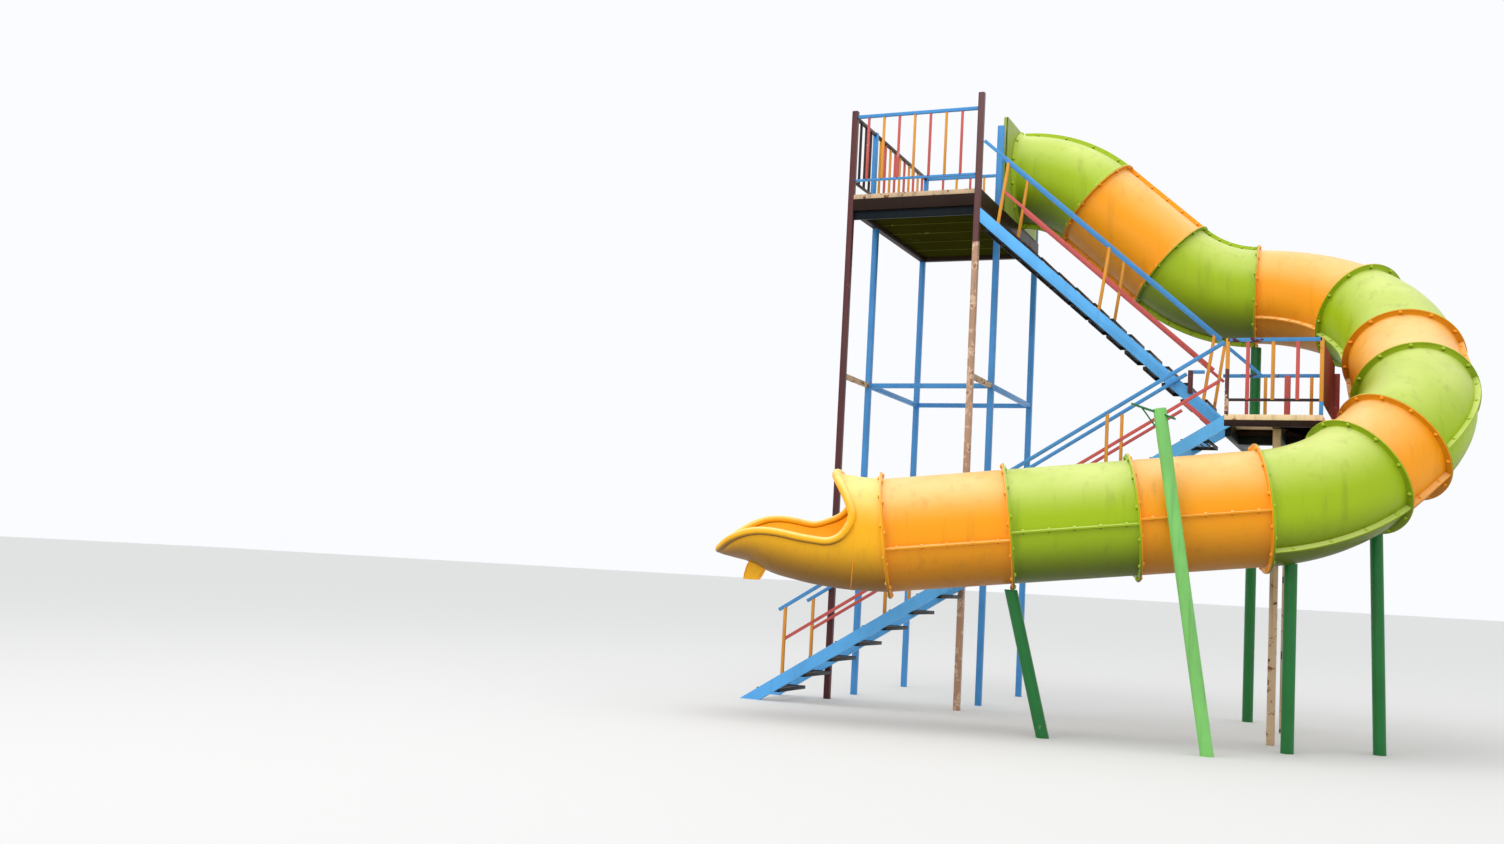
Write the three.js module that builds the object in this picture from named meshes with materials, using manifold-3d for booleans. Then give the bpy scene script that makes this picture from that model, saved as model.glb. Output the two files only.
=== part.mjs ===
import * as THREE from 'three';
import { mergeVertices } from 'three/addons/utils/BufferGeometryUtils.js';
import Module from 'manifold-3d';

// A water slide tower: a steel platform with two flights of stairs and a landing, and a closed
// tube slide of bolted sections that drops, turns back and ends in an open chute.
// Millimetres. X runs along the front of the platform, Y away from it, Z up from the ground.
// The first left post stands on X = 0, Y = 0 until the whole is centred at the end.

// Driving dimensions of the platform
const deckTop = 4718;
const deckWidth = 1228;
const middleY = 723;
const rearY = 2280;
const postSide = 55;
const frontLeftTop = 5535;
const frontRightTop = 5622;
const entrancePostTop = 5522;
const floorDepth = 45;
const edgeBeamDepth = 110;
const underBeamDepth = 80;
const joistPitch = 400;
const soffitDepth = 64;
const soffitThickness = 3;
const braceLevel = 2996;
const braceDepth = 45;

// Driving dimensions of the guards on the platform
const guardHeight = 774;
const lowRailHeight = 141;
const railSide = 30;
const balusterSide = 22;
const balusterPitch = 152;
const frontBalusterX = 138;
const rearBalusterX = 190;
const leftMiddleY = 594;
const leftFrontBalusters = 3;
const leftRearBalusters = 10;
const guardPostSide = 45;
const guardPostRise = 8;
const entrancePostSide = 58;

// Driving dimensions of the plate that the tube is fixed to
const panelReach = 32;
const panelThickness = 12;
const panelNear = 840;
const panelFar = 2186;
const panelTop = 5648;
const panelReturnDepth = 28;
const panelReturnThickness = 16;
const panelHoleInset = 4;

// Driving dimensions that both flights share
const stringerDepth = 100;
const stringerWidth = 40;
const treadGoing = 220;
const treadEdge = 30;
const treadTuck = 5;
const treadBackShare = 0.56;
const treadDropShare = 0.36;
const railPostSide = 26;
const middleRailWidth = 22;
const cutterDepth = 300;
const cutterHalf = 60;
const cutterReach = 200;

// Driving dimensions of the upper flight
const upperSlope = 0.877;
const upperStringerDrop = 155;
const upperNearY = 0;
const upperFarY = 735;
const upperTreads = 13;
const upperRailHeight = 655;
const upperMiddleRailHeight = 330;
const upperFarRise = 25;
const upperRailStart = 16;
const upperNearRailEnd = 3400;
const upperFarRailEnd = 3655;
const upperPostPlaces = [1506, 2439, 3345];
const middleRailOverhang = 40;
const railPostLean = 0.125;

// Driving dimensions of the landing
const landingTop = 2573;
const landingLeft = 3521;
const landingRight = 4256;
const landingNear = -743;
const landingFar = 824;
const landingEdgeDepth = 50;
const landingRim = 30;
const landingBeamDepth = 75;
const landingBeamInset = 80;
const landingBeamHalf = 30;
const landingBeamStop = 60;
const landingEndBeamWidth = 45;
const landingRail = 611;
const landingFarRail = 541;
const landingLowRail = 117;
const landingNearBalusters = [3690, 3880, 4064];
const landingFarBalusters = [3692, 3877, 4076];
const sideSheetInset = 20;
const sideSheetThickness = 6;
const landingColumnSide = 60;
const landingColumnX = 3907;
const landingColumnNear = -550;
const landingColumnInset = 60;

// Driving dimensions of the lower flight
const lowerSlope = 0.631;
const lowerNearY = -743;
const lowerFarY = -62;
const lowerFarDepth = 55;
const lowerTreads = 16;
const lowerRailHeight = 609;
const lowerMiddleRailHeight = 302;
const lowerFarRise = 80;
const lowerTopDrop = 6;
const lowerPostPlaces = [2600, 1680, 760, -160];
const lowerPostSink = 20;
const lowerNearRailInset = 14;
const lowerFarRailShift = 6;
const lowerRailOverhang = 60;
const lowerFarRailInset = 30;
const newelX = 3160;
const newelWidth = 40;
const newelDepth = 36;
const newelLow = 2829;
const newelTop = 3027;
const newelBarReach = 115;
const newelBarDepth = 27;

// Driving dimensions of the tube
const tubeRadius = 440;
const tubeWall = 8;
const flangeReach = 45;
const flangeThickness = 9;
const seamHalf = 9;
const seamInset = 4;
const seamProud = 2;
const tubeSides = 16;
const tubeEntry = new THREE.Vector3(1260, 1513, 5188);

// The tube's sections from the top. A turn is positive to the left and a fall positive downwards,
// both in degrees, and roll turns a straight section's seam away from the top.
const green = 0x8fbf1f;
const yellow = 0xf5a01e;
const tubeSections = [
  { length: 827, turn: 2.1, fall: 41.3, roll: 0, colour: green },
  { length: 960, turn: 0, fall: 0, roll: 0, colour: yellow },
  { length: 870, turn: 1.1, fall: -40.2, roll: 0, colour: green },
  { length: 1021, turn: -44.3, fall: 25.3, roll: 0, colour: yellow },
  { length: 928, turn: -41.9, fall: 11, roll: 0, colour: green },
  { length: 714, turn: 3.6, fall: -7.1, roll: 0, colour: yellow },
  { length: 772, turn: -52.9, fall: 7.7, roll: 0, colour: green },
  { length: 447, turn: -0.7, fall: -5.4, roll: 0, colour: yellow },
  { length: 831, turn: -31.5, fall: -25.6, roll: 0, colour: green },
  { length: 940, turn: 0, fall: 0, roll: 86, colour: yellow },
  { length: 940, turn: 0, fall: 0, roll: 82, colour: green },
  { length: 940, turn: 0, fall: 0, roll: 75, colour: yellow },
];
const bendSteps = 3;
const straightBelow = 3;
const slightBelow = 10;

// Driving dimensions of the open chute at the end
const chuteLength = 1330;
const chuteWall = 10;
const chuteBead = 20;
const chuteRoll = 9;
const farRimRise = 80;
const farRimRiseEnd = 600;
const chuteSteps = 9;
const troughSides = 10;
const troughInset = 2.5;
const troughFloor = [
  [0, -438], [270, -438], [525, -412], [730, -374], [880, -336], [1035, -265], [1190, -230], [1330, -205],
];
const troughRims = [
  [0, 155], [200, 97], [300, 32], [380, -3], [470, -9], [580, 0], [700, 18], [800, 34], [900, 41],
  [1000, 31], [1100, -4], [1200, -68], [1330, -170],
];
const bowStart = 850;
const bowNarrowing = 0.93;
const collarAtNear = 215;
const collarAtFar = 325;
const collarAtTop = 385;
const collarBead = 28;
const collarSwell = 0.07;
const footAlong = 1000;
const footLength = 128;
const footLean = 45;
const footWidth = 130;
const footLow = 1062;
const footSink = 3;

// The round posts under the tube: the sections that each one carries, where it stands and the
// place that it leans towards
const standRadius = 48;
const standSides = 12;
const firstStandCarries = [3, 4];
const standPlaces = [
  { carries: [8, 9], base: [4694, -540, 0], head: [4646, -540, 1700] },
  { carries: [9], base: [4070, -1100, 0], head: [4070, -1100, 1400] },
  { carries: [11, 12], base: [2376, -1680, 0], head: [2094, -1680, 1080] },
];

// The post that leans beside the tube, with a tilted plate and a stay on its top
const leaningY = -1864.4;
const leaningBase = [3590, 0];
const leaningTop = [3200, 2430];
const plateEnds = [[2990, 2513], [3305, 2404]];
const plateWidth = 70;
const plateThickness = 14;
const stayEnds = [[3066, 2482], [3176, 2332]];
const stayWidth = 30;
const stayThickness = 10;

// The small gap that pieces keep where they touch
const gap = 0.3;
const half = 0.5;
const quarterTurn = Math.PI / 2;
const uprightFrom = 0.99;
const farAway = 9000;
const searchRounds = 24;

const blue = 0x3f8fcf;
const darkBlue = 0x1d3f5e;
const maroon = 0x6b3030;
const tan = 0xc8956a;
const red = 0xcf5050;
const olive = 0x4b4c14;
const paleGreen = 0x9cc043;
const darkGreen = 0x23743a;
const freshGreen = 0x62b04f;
const chuteYellow = 0xf0a818;
const paint = { metalness: 0.2, roughness: 0.5 };
const roundPaint = { metalness: 0.2, roughness: 0.4 };
const gelCoat = { metalness: 0, roughness: 0.3 };

const wasm = await Module();
wasm.setup();

const tower = new THREE.Group();

function toSolid(geometry) {
  const plain = geometry.clone();
  plain.deleteAttribute('normal');
  plain.deleteAttribute('uv');
  const merged = mergeVertices(plain, 1e-3);
  return new wasm.Manifold(new wasm.Mesh({
    numProp: 3,
    vertProperties: new Float32Array(merged.attributes.position.array),
    triVerts: new Uint32Array(merged.index.array),
  }));
}

function toGeometry(solid) {
  const mesh = solid.getMesh();
  const geometry = new THREE.BufferGeometry();
  geometry.setAttribute('position', new THREE.BufferAttribute(new Float32Array(mesh.vertProperties), 3));
  geometry.setIndex(new THREE.BufferAttribute(new Uint32Array(mesh.triVerts), 1));
  geometry.computeVertexNormals();
  return geometry;
}

function joined(geometries) {
  const solids = geometries.map(toSolid);
  return toGeometry(solids.reduce((whole, piece) => whole.add(piece)));
}

function cut(geometry, tools) {
  const solids = tools.map(toSolid);
  return toGeometry(solids.reduce((whole, piece) => whole.subtract(piece), toSolid(geometry)));
}

function place(name, geometry, colour, finish = paint) {
  const mesh = new THREE.Mesh(geometry, new THREE.MeshStandardMaterial({ color: colour, ...finish }));
  mesh.name = name;
  tower.add(mesh);
  return mesh;
}

function block(x0, x1, y0, y1, z0, z1) {
  const geometry = new THREE.BoxGeometry(x1 - x0, y1 - y0, z1 - z0);
  geometry.translate((x0 + x1) / 2, (y0 + y1) / 2, (z0 + z1) / 2);
  return geometry;
}

function squarePost(x, y, z0, z1, side = postSide) {
  return block(x - side / 2, x + side / 2, y - side / 2, y + side / 2, z0, z1);
}

// An outline of [x, z] points, drawn out along Y
function sidePlate(points, y0, y1) {
  const shape = new THREE.Shape(points.map(([x, z]) => new THREE.Vector2(x, z)));
  const geometry = new THREE.ExtrudeGeometry(shape, { depth: y1 - y0, bevelEnabled: false });
  geometry.rotateX(quarterTurn);
  geometry.translate(0, y1, 0);
  return geometry;
}

// A bar between two points. Its depth is measured upwards and its width across.
function bar(start, end, width, depth) {
  const direction = new THREE.Vector3().subVectors(end, start);
  const length = direction.length();
  direction.divideScalar(length);
  const isUpright = Math.abs(direction.z) > uprightFrom;
  const reference = isUpright ? new THREE.Vector3(1, 0, 0) : new THREE.Vector3(0, 0, 1);
  const across = new THREE.Vector3().crossVectors(reference, direction).normalize();
  const up = new THREE.Vector3().crossVectors(direction, across);
  const geometry = new THREE.BoxGeometry(length, width, depth);
  const turn = new THREE.Matrix4().makeBasis(direction, across, up);
  turn.setPosition(new THREE.Vector3().addVectors(start, end).multiplyScalar(half));
  geometry.applyMatrix4(turn);
  return geometry;
}

function roundBar(start, end, radius, sides) {
  const direction = new THREE.Vector3().subVectors(end, start);
  const length = direction.length();
  const geometry = new THREE.CylinderGeometry(radius, radius, length, sides);
  const turn = new THREE.Quaternion().setFromUnitVectors(new THREE.Vector3(0, 1, 0), direction.normalize());
  geometry.applyQuaternion(turn);
  const middle = new THREE.Vector3().addVectors(start, end).multiplyScalar(half);
  geometry.translate(middle.x, middle.y, middle.z);
  return geometry;
}

const point = (x, y, z) => new THREE.Vector3(x, y, z);

// The six legs. The two at the front run on up as guard posts.
const edgeTop = deckTop - floorDepth;
const edgeBottom = edgeTop - edgeBeamDepth;
const legTop = edgeBottom - gap;
place('front_left_post', squarePost(0, 0, 0, frontLeftTop), maroon);
place('front_right_post', squarePost(deckWidth, 0, 0, frontRightTop), tan);
place('middle_left_post', squarePost(0, middleY, 0, legTop), blue);
place('middle_right_post', squarePost(deckWidth, middleY, 0, legTop), blue);
place('rear_left_post', squarePost(0, rearY, 0, legTop), blue);
place('rear_right_post', squarePost(deckWidth, rearY, 0, legTop), blue);

// The level bars between the legs
const legFace = postSide / 2 + gap;
const braceLow = braceLevel - braceDepth / 2;
const braceHigh = braceLevel + braceDepth / 2;
const braceHalf = braceDepth / 2;
for (const [name, y] of [['middle_brace', middleY], ['rear_brace', rearY]]) {
  place(name, block(legFace, deckWidth - legFace, y - braceHalf, y + braceHalf, braceLow, braceHigh), blue);
}
for (const [name, x] of [['left_brace', 0], ['right_brace', deckWidth]]) {
  const bay = block(x - braceHalf, x + braceHalf, middleY + legFace, rearY - legFace, braceLow, braceHigh);
  place(name, bay, blue);
}
for (const [name, x] of [['left_tie', 0], ['right_tie', deckWidth]]) {
  place(name, block(x - braceHalf, x + braceHalf, legFace, middleY - legFace, braceLow, braceHigh), tan);
}

// The deck: a ring of edge beams with joists, the floor on top and a sheet below
const outer = postSide / 2;
const ringWidth = 2 * outer;
const ring = [
  block(legFace, deckWidth - legFace, -outer, outer, edgeBottom, edgeTop),
  block(-outer, outer, legFace, rearY + outer, edgeBottom, edgeTop),
  block(deckWidth - outer, deckWidth + outer, legFace, rearY + outer, edgeBottom, deckTop),
  block(-outer, deckWidth + outer, rearY - outer, rearY + outer, edgeBottom, edgeTop),
  block(legFace, ringWidth, 0, ringWidth, edgeBottom, edgeTop),
  block(0, ringWidth, legFace, ringWidth, edgeBottom, edgeTop),
  block(deckWidth - ringWidth, deckWidth - legFace, 0, ringWidth, edgeBottom, edgeTop),
  block(deckWidth - ringWidth, deckWidth, legFace, ringWidth, edgeBottom, edgeTop),
];
const soffitLow = edgeTop - soffitDepth;
for (let y = joistPitch; y < rearY - joistPitch / 2; y += joistPitch) {
  ring.push(block(0, deckWidth, y - railSide / 2, y + railSide / 2, soffitLow, edgeTop));
}
place('deck_frame', joined(ring), maroon);

const floorLow = edgeTop + gap;
const floorRight = deckWidth - outer - gap;
place('deck_floor', joined([
  block(legFace, deckWidth - legFace, -outer, rearY + outer, floorLow, deckTop),
  block(-outer, floorRight, legFace, rearY + outer, floorLow, deckTop),
]), tan);

const soffitHigh = soffitLow - gap;
const soffitInset = outer + gap;
place('deck_soffit', cut(
  block(
    soffitInset, deckWidth - soffitInset, soffitInset, rearY - soffitInset,
    soffitHigh - soffitThickness, soffitHigh,
  ),
  [
    block(0, ringWidth + gap, 0, ringWidth + gap, edgeBottom, edgeTop),
    block(deckWidth - ringWidth - gap, deckWidth, 0, ringWidth + gap, edgeBottom, edgeTop),
  ],
), olive);

const underTop = edgeBottom - gap;
place('front_under_beam', block(
  legFace, deckWidth - legFace, 0, ringWidth / 2, underTop - underBeamDepth, underTop,
), darkBlue);

// Guards on the platform
const railTop = deckTop + guardHeight;
const railMiddle = railTop - railSide / 2;
const lowRail = deckTop + lowRailHeight;
const railHalf = railSide / 2;
const thinHalf = balusterSide / 2;

function guardAlongX(x0, x1, y, firstX) {
  const pieces = [
    block(x0, x1, y - railHalf, y + railHalf, railTop - railSide, railTop),
    block(x0, x1, y - thinHalf, y + thinHalf, lowRail - thinHalf, lowRail + thinHalf),
  ];
  for (let x = firstX; x < x1 - balusterPitch / 3; x += balusterPitch) {
    pieces.push(block(x - thinHalf, x + thinHalf, y - thinHalf, y + thinHalf, lowRail, railMiddle));
  }
  return pieces;
}

function guardAlongY(x, y0, y1, count) {
  const pieces = [
    block(x - railHalf, x + railHalf, y0, y1, railTop - railSide, railTop),
    block(x - thinHalf, x + thinHalf, y0, y1, lowRail - thinHalf, lowRail + thinHalf),
  ];
  for (let number = 1; number <= count; number += 1) {
    const y = y0 + (y1 - y0) * number / (count + 1);
    pieces.push(block(x - thinHalf, x + thinHalf, y - thinHalf, y + thinHalf, lowRail, railMiddle));
  }
  return pieces;
}

place('front_guard', joined(guardAlongX(legFace, deckWidth - legFace, 0, frontBalusterX)), blue);

const deckFace = deckTop + gap;
const guardPostTop = railTop + guardPostRise;
place('left_guard', joined([
  ...guardAlongY(0, legFace, leftMiddleY, leftFrontBalusters),
  ...guardAlongY(0, leftMiddleY, rearY, leftRearBalusters),
  squarePost(0, leftMiddleY, deckFace, guardPostTop, guardPostSide),
  squarePost(0, rearY, deckFace, guardPostTop, guardPostSide),
]), blue);

const rearGuardLeft = guardPostSide / 2 + gap;
place('rear_guard', joined([
  ...guardAlongX(rearGuardLeft, deckWidth, rearY, rearBalusterX),
  squarePost(deckWidth, rearY, deckFace, guardPostTop, guardPostSide),
]), blue);

place('entrance_post', squarePost(deckWidth, middleY, deckFace, entrancePostTop, entrancePostSide), blue);

// The plate that the tube is fixed to. It stands on the deck's right beam.
const panelOuter = deckWidth + panelReach;
const panelInner = panelOuter - panelThickness;
const returnInner = panelInner - panelReturnDepth;
const holeRadius = tubeRadius - panelHoleInset;
const panelHole = new THREE.CylinderGeometry(holeRadius, holeRadius, tubeRadius, tubeSides);
panelHole.rotateZ(quarterTurn);
panelHole.translate(panelOuter, tubeEntry.y, tubeEntry.z);
place('entry_panel', cut(
  joined([
    block(panelInner, panelOuter, panelNear, panelFar, deckFace, panelTop),
    block(returnInner, panelOuter, panelNear, panelNear + panelReturnThickness, deckFace, panelTop),
    block(returnInner, panelOuter, panelFar - panelReturnThickness, panelFar, deckFace, panelTop),
  ]),
  [panelHole],
), paleGreen, gelCoat);

// A stair flight: two stringers with treads of folded plate between them. The top edge of the
// stringers passes through topX, topZ and falls with the given slope away from it, to the side
// that way points to. They are cut off level at footZ.
function flight(topX, topZ, slope, way, length, [nearY, nearDepth], [farY, farDepth], treads, footZ) {
  const steepness = Math.hypot(1, slope);
  const endX = topX + way * length;
  const endZ = topZ - slope * length;
  const pieces = [];
  for (const [y, depth] of [[nearY, nearDepth], [farY, farDepth]]) {
    const lowZ = topZ - depth * steepness;
    const outline = [[topX, topZ], [endX, endZ]];
    if (endZ > footZ) {
      outline.push([endX, footZ]);
    }
    outline.push([topX + way * (lowZ - footZ) / slope, footZ], [topX, lowZ]);
    pieces.push(sidePlate(outline, y - stringerWidth / 2, y + stringerWidth / 2));
  }
  const cutDepth = nearDepth * steepness;
  const run = length / (treads + 1);
  for (let number = 1; number <= treads; number += 1) {
    const z = topZ - slope * run * number - cutDepth * treadDropShare;
    const x = topX + way * run * number;
    const back = x - treadGoing * treadBackShare * way;
    const front = back + treadGoing * way;
    const x0 = Math.min(back, front);
    const x1 = Math.max(back, front);
    const inset = stringerWidth / 2 - treadTuck;
    pieces.push(block(x0, x1, nearY + inset, farY - inset, z - treadEdge, z));
  }
  return joined(pieces);
}

const upperTopX = deckWidth + legFace;
const upperTopZ = deckTop - upperStringerDrop - upperSlope * legFace;
const upperLength = landingLeft - gap - upperTopX;
place('upper_flight', flight(
  upperTopX, upperTopZ, upperSlope, 1, upperLength,
  [upperNearY, stringerDepth], [upperFarY, stringerDepth], upperTreads, landingTop - floorDepth,
), blue);

const upperEdge = (x) => upperTopZ - upperSlope * (x - upperTopX);

// What lies under the top edge of a stringer. The handrails are cut off at it.
function underEdge(edgeAt, x0, x1, y) {
  return sidePlate([
    [x0, edgeAt(x0) + gap], [x0, edgeAt(x0) - cutterDepth],
    [x1, edgeAt(x1) - cutterDepth], [x1, edgeAt(x1) + gap],
  ], y - cutterHalf, y + cutterHalf);
}

// Handrails of the upper flight: leaning posts on the stringer, a top rail and a middle rail
function upperHandrail(y, rise, lastX) {
  const railAt = (x, height) => point(x, y, upperEdge(x) + height);
  const top = upperRailHeight + rise - railHalf;
  const middleStart = railAt(upperPostPlaces[0] - middleRailOverhang, upperMiddleRailHeight);
  const middleEnd = railAt(upperPostPlaces[upperPostPlaces.length - 1], upperMiddleRailHeight);
  const pieces = [
    bar(railAt(upperTopX + upperRailStart, top), railAt(lastX, top), railSide, railSide),
    bar(middleStart, middleEnd, middleRailWidth, railPostSide),
  ];
  for (const x of upperPostPlaces) {
    const footX = x - upperRailHeight * railPostLean;
    const foot = point(footX, y, upperEdge(footX) + gap);
    pieces.push(bar(foot, railAt(x, top), railPostSide, railPostSide));
  }
  return cut(joined(pieces), [underEdge(upperEdge, upperTopX - cutterReach, landingLeft, y)]);
}
place('upper_near_handrail', upperHandrail(upperNearY, 0, upperNearRailEnd), blue);
place('upper_far_handrail', upperHandrail(upperFarY, upperFarRise, upperFarRailEnd), blue);

// The landing: an edge frame with cross beams under it, a floor, guards and two columns
const landingFrameTop = landingTop - floorDepth - gap;
const landingFrameLow = landingFrameTop - landingEdgeDepth;
const frameBar = (x0, x1, y0, y1) => block(x0, x1, y0, y1, landingFrameLow, landingFrameTop);
const columnLeft = landingColumnX - landingBeamHalf;
const columnRight = landingColumnX + landingBeamHalf;
place('landing_frame', joined([
  frameBar(landingLeft, landingRight, landingNear, landingNear + landingRim),
  frameBar(landingLeft, landingRight, landingFar - landingRim, landingFar),
  frameBar(landingLeft, landingLeft + landingRim, landingNear, landingFar),
  frameBar(landingRight - landingRim, landingRight, landingNear, landingFar),
  frameBar(landingLeft, landingRight, -landingBeamHalf, landingBeamHalf),
  frameBar(columnLeft, columnRight, landingNear, landingFar),
]), maroon);
place('landing_floor', block(
  landingLeft, landingRight, landingNear, landingFar, landingTop - floorDepth, landingTop,
), tan);
const crossTop = landingFrameLow - gap;
const crossLow = crossTop - landingBeamDepth;
const crossNear = landingNear + landingBeamInset;
const crossFar = landingFar - landingBeamInset;
const nearColumnBack = landingColumnNear + landingColumnSide / 2 + gap;
place('landing_beams', joined([
  block(
    landingLeft, landingRight - landingBeamStop, -landingBeamHalf, landingBeamHalf, crossLow, crossTop,
  ),
  block(columnLeft, columnRight, nearColumnBack, crossFar, crossLow, crossTop),
  block(landingLeft, landingLeft + landingEndBeamWidth, crossNear, crossFar, crossLow, crossTop),
]), darkBlue);
const landingColumn = (y, top) => squarePost(landingColumnX, y, 0, top, landingColumnSide);
place('landing_near_column', landingColumn(landingColumnNear, crossTop), tan);
place('landing_far_column', landingColumn(crossFar - landingColumnInset, crossLow - gap), tan);

const landingFace = landingTop + gap;
const guardLeft = landingLeft + railHalf;
const guardRight = landingRight - railHalf;
function landingGuard(y, height, balusters) {
  const top = landingTop + height;
  const low = landingTop + landingLowRail;
  const pieces = [
    block(guardLeft, guardRight, y - railHalf, y + railHalf, top - railSide, top),
    block(guardLeft, guardRight, y - thinHalf, y + thinHalf, low - thinHalf, low + thinHalf),
    squarePost(guardLeft, y, landingFace, top, railSide),
    squarePost(guardRight, y, landingFace, top, railSide),
  ];
  for (const x of balusters) {
    pieces.push(block(x - thinHalf, x + thinHalf, y - thinHalf, y + thinHalf, low, top - railHalf));
  }
  return joined(pieces);
}
const nearGuardY = landingNear + railHalf;
const farGuardY = landingFar - railHalf;
place('landing_near_guard', landingGuard(nearGuardY, landingRail, landingNearBalusters), blue);
place('landing_far_guard', landingGuard(farGuardY, landingFarRail, landingFarBalusters), red);
const sheetLeft = landingRight - sideSheetInset;
place('landing_side_sheet', block(
  sheetLeft, sheetLeft + sideSheetThickness, landingNear + railSide + gap, landingFar - railSide - gap,
  landingTop + landingLowRail, landingTop + landingRail,
), maroon);

// The lower flight runs back under the upper one to the ground
const lowerTopX = landingLeft - gap;
const lowerTopZ = landingTop - lowerTopDrop;
const lowerRun = (lowerTopZ - gap / 2) / lowerSlope;
const lowerStringerY = lowerNearY + stringerWidth / 2;
const lowerEdge = (x) => lowerTopZ - lowerSlope * (lowerTopX - x);
place('lower_flight', flight(
  lowerTopX, lowerTopZ, lowerSlope, -1, lowerRun,
  [lowerStringerY, stringerDepth], [lowerFarY, lowerFarDepth], lowerTreads, 0,
), blue);

function lowerHandrail(y, rise, firstX) {
  const railAt = (x, height) => point(x, y, lowerEdge(x) + height);
  const top = lowerRailHeight + rise - railHalf;
  const middle = lowerMiddleRailHeight + rise;
  const lastPost = lowerPostPlaces[lowerPostPlaces.length - 1];
  const pieces = [
    bar(railAt(firstX, top), railAt(lastPost - lowerRailOverhang, top), railSide, railSide),
    bar(railAt(firstX - railSide, middle), railAt(lastPost, middle), middleRailWidth, railPostSide),
  ];
  for (const x of lowerPostPlaces) {
    pieces.push(bar(railAt(x, -lowerPostSink), railAt(x, top), railPostSide, railPostSide));
  }
  const cutter = underEdge(lowerEdge, lowerTopX - lowerRun - cutterReach, lowerTopX + cutterReach, y);
  return cut(joined(pieces), [cutter]);
}
place('lower_near_handrail', lowerHandrail(lowerStringerY, 0, landingLeft - lowerNearRailInset), blue);
place('lower_far_handrail', lowerHandrail(
  lowerFarY + lowerFarRailShift, lowerFarRise, newelX - lowerFarRailInset,
), blue);
const newelFace = upperNearY - stringerWidth / 2 - gap;
const newelBlock = (x0, x1, low) => block(x0, x1, newelFace - newelDepth, newelFace, low, newelTop);
place('lower_newel', joined([
  newelBlock(newelX - newelWidth / 2, newelX + newelWidth / 2, newelLow),
  newelBlock(newelX, newelX + newelBarReach, newelTop - newelBarDepth),
]), maroon);

// A straight or round run of the tube's middle line. The side vector is square to the start and
// points to the inside of the bend. The seam turn is the angle from there to the seam.
function makeRun(start, tangent, side, angle, length, seamTurn = 0) {
  const middleAt = (share) => {
    if (angle === 0) {
      return start.clone().addScaledVector(tangent, length * share);
    }
    const radius = length / angle;
    return start.clone()
      .addScaledVector(tangent, radius * Math.sin(angle * share))
      .addScaledVector(side, radius * (1 - Math.cos(angle * share)));
  };
  const directionAt = (share) => tangent.clone().multiplyScalar(Math.cos(angle * share))
    .addScaledVector(side, Math.sin(angle * share));
  const sideAt = (share) => side.clone().multiplyScalar(Math.cos(angle * share))
    .addScaledVector(tangent, -Math.sin(angle * share));
  const seamAt = (share) => sideAt(share).applyAxisAngle(directionAt(share), seamTurn);
  // A place beside the middle line: toSeam is measured to the side where the seam is
  const placeAt = (distance, toSeam, toBinormal) => {
    const share = distance / length;
    const normal = seamAt(share);
    const binormal = new THREE.Vector3().crossVectors(directionAt(share), normal);
    return middleAt(share).addScaledVector(normal, toSeam).addScaledVector(binormal, toBinormal);
  };
  return { length, angle, middleAt, placeAt };
}

const sideAngle = 2 * Math.PI / tubeSides;
const flatOf = (radius) => radius * Math.cos(sideAngle / 2);

function polygon(radius, from = 0, to = tubeSides) {
  const points = [];
  for (let index = from; index < to; index += 1) {
    const angle = (index + half) * sideAngle;
    points.push(new THREE.Vector2(radius * Math.cos(angle), radius * Math.sin(angle)));
  }
  return points;
}

// The tube's wall with the two flat flanges along its seams, which are opposite each other
const seamReach = flatOf(tubeRadius + flangeReach) - seamInset;
function tubeOutline() {
  const root = flatOf(tubeRadius);
  const middle = tubeSides / 2;
  return new THREE.Shape([
    new THREE.Vector2(root, -seamHalf), new THREE.Vector2(seamReach, -seamHalf),
    new THREE.Vector2(seamReach, seamHalf), new THREE.Vector2(root, seamHalf),
    ...polygon(tubeRadius, 0, middle),
    new THREE.Vector2(-root, seamHalf), new THREE.Vector2(-seamReach, seamHalf),
    new THREE.Vector2(-seamReach, -seamHalf), new THREE.Vector2(-root, -seamHalf),
    ...polygon(tubeRadius, middle, tubeSides),
  ]);
}

// Moves each corner of a drawn-out outline to where the given function puts it
function reshape(geometry, mapping) {
  const places = geometry.attributes.position;
  for (let index = 0; index < places.count; index += 1) {
    const moved = mapping(places.getX(index), places.getY(index), places.getZ(index));
    places.setXYZ(index, moved.x, moved.y, moved.z);
  }
  return geometry;
}

// An outline drawn out in as many steps as there are stations after the first
function drawOut(shape, stations) {
  const steps = stations.length - 1;
  return new THREE.ExtrudeGeometry(shape, { steps, depth: steps, bevelEnabled: false, curveSegments: 1 });
}

// The stations along a section: its two ends with their flanges, and the steps between
function stationsOf(run, steps) {
  const start = gap / 2;
  const end = run.length - gap / 2;
  const stations = [start, flangeThickness, flangeThickness + gap];
  for (let step = 1; step < steps; step += 1) {
    stations.push(run.length * step / steps);
  }
  return [...stations, end - flangeThickness - gap, end - flangeThickness, end];
}

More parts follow.
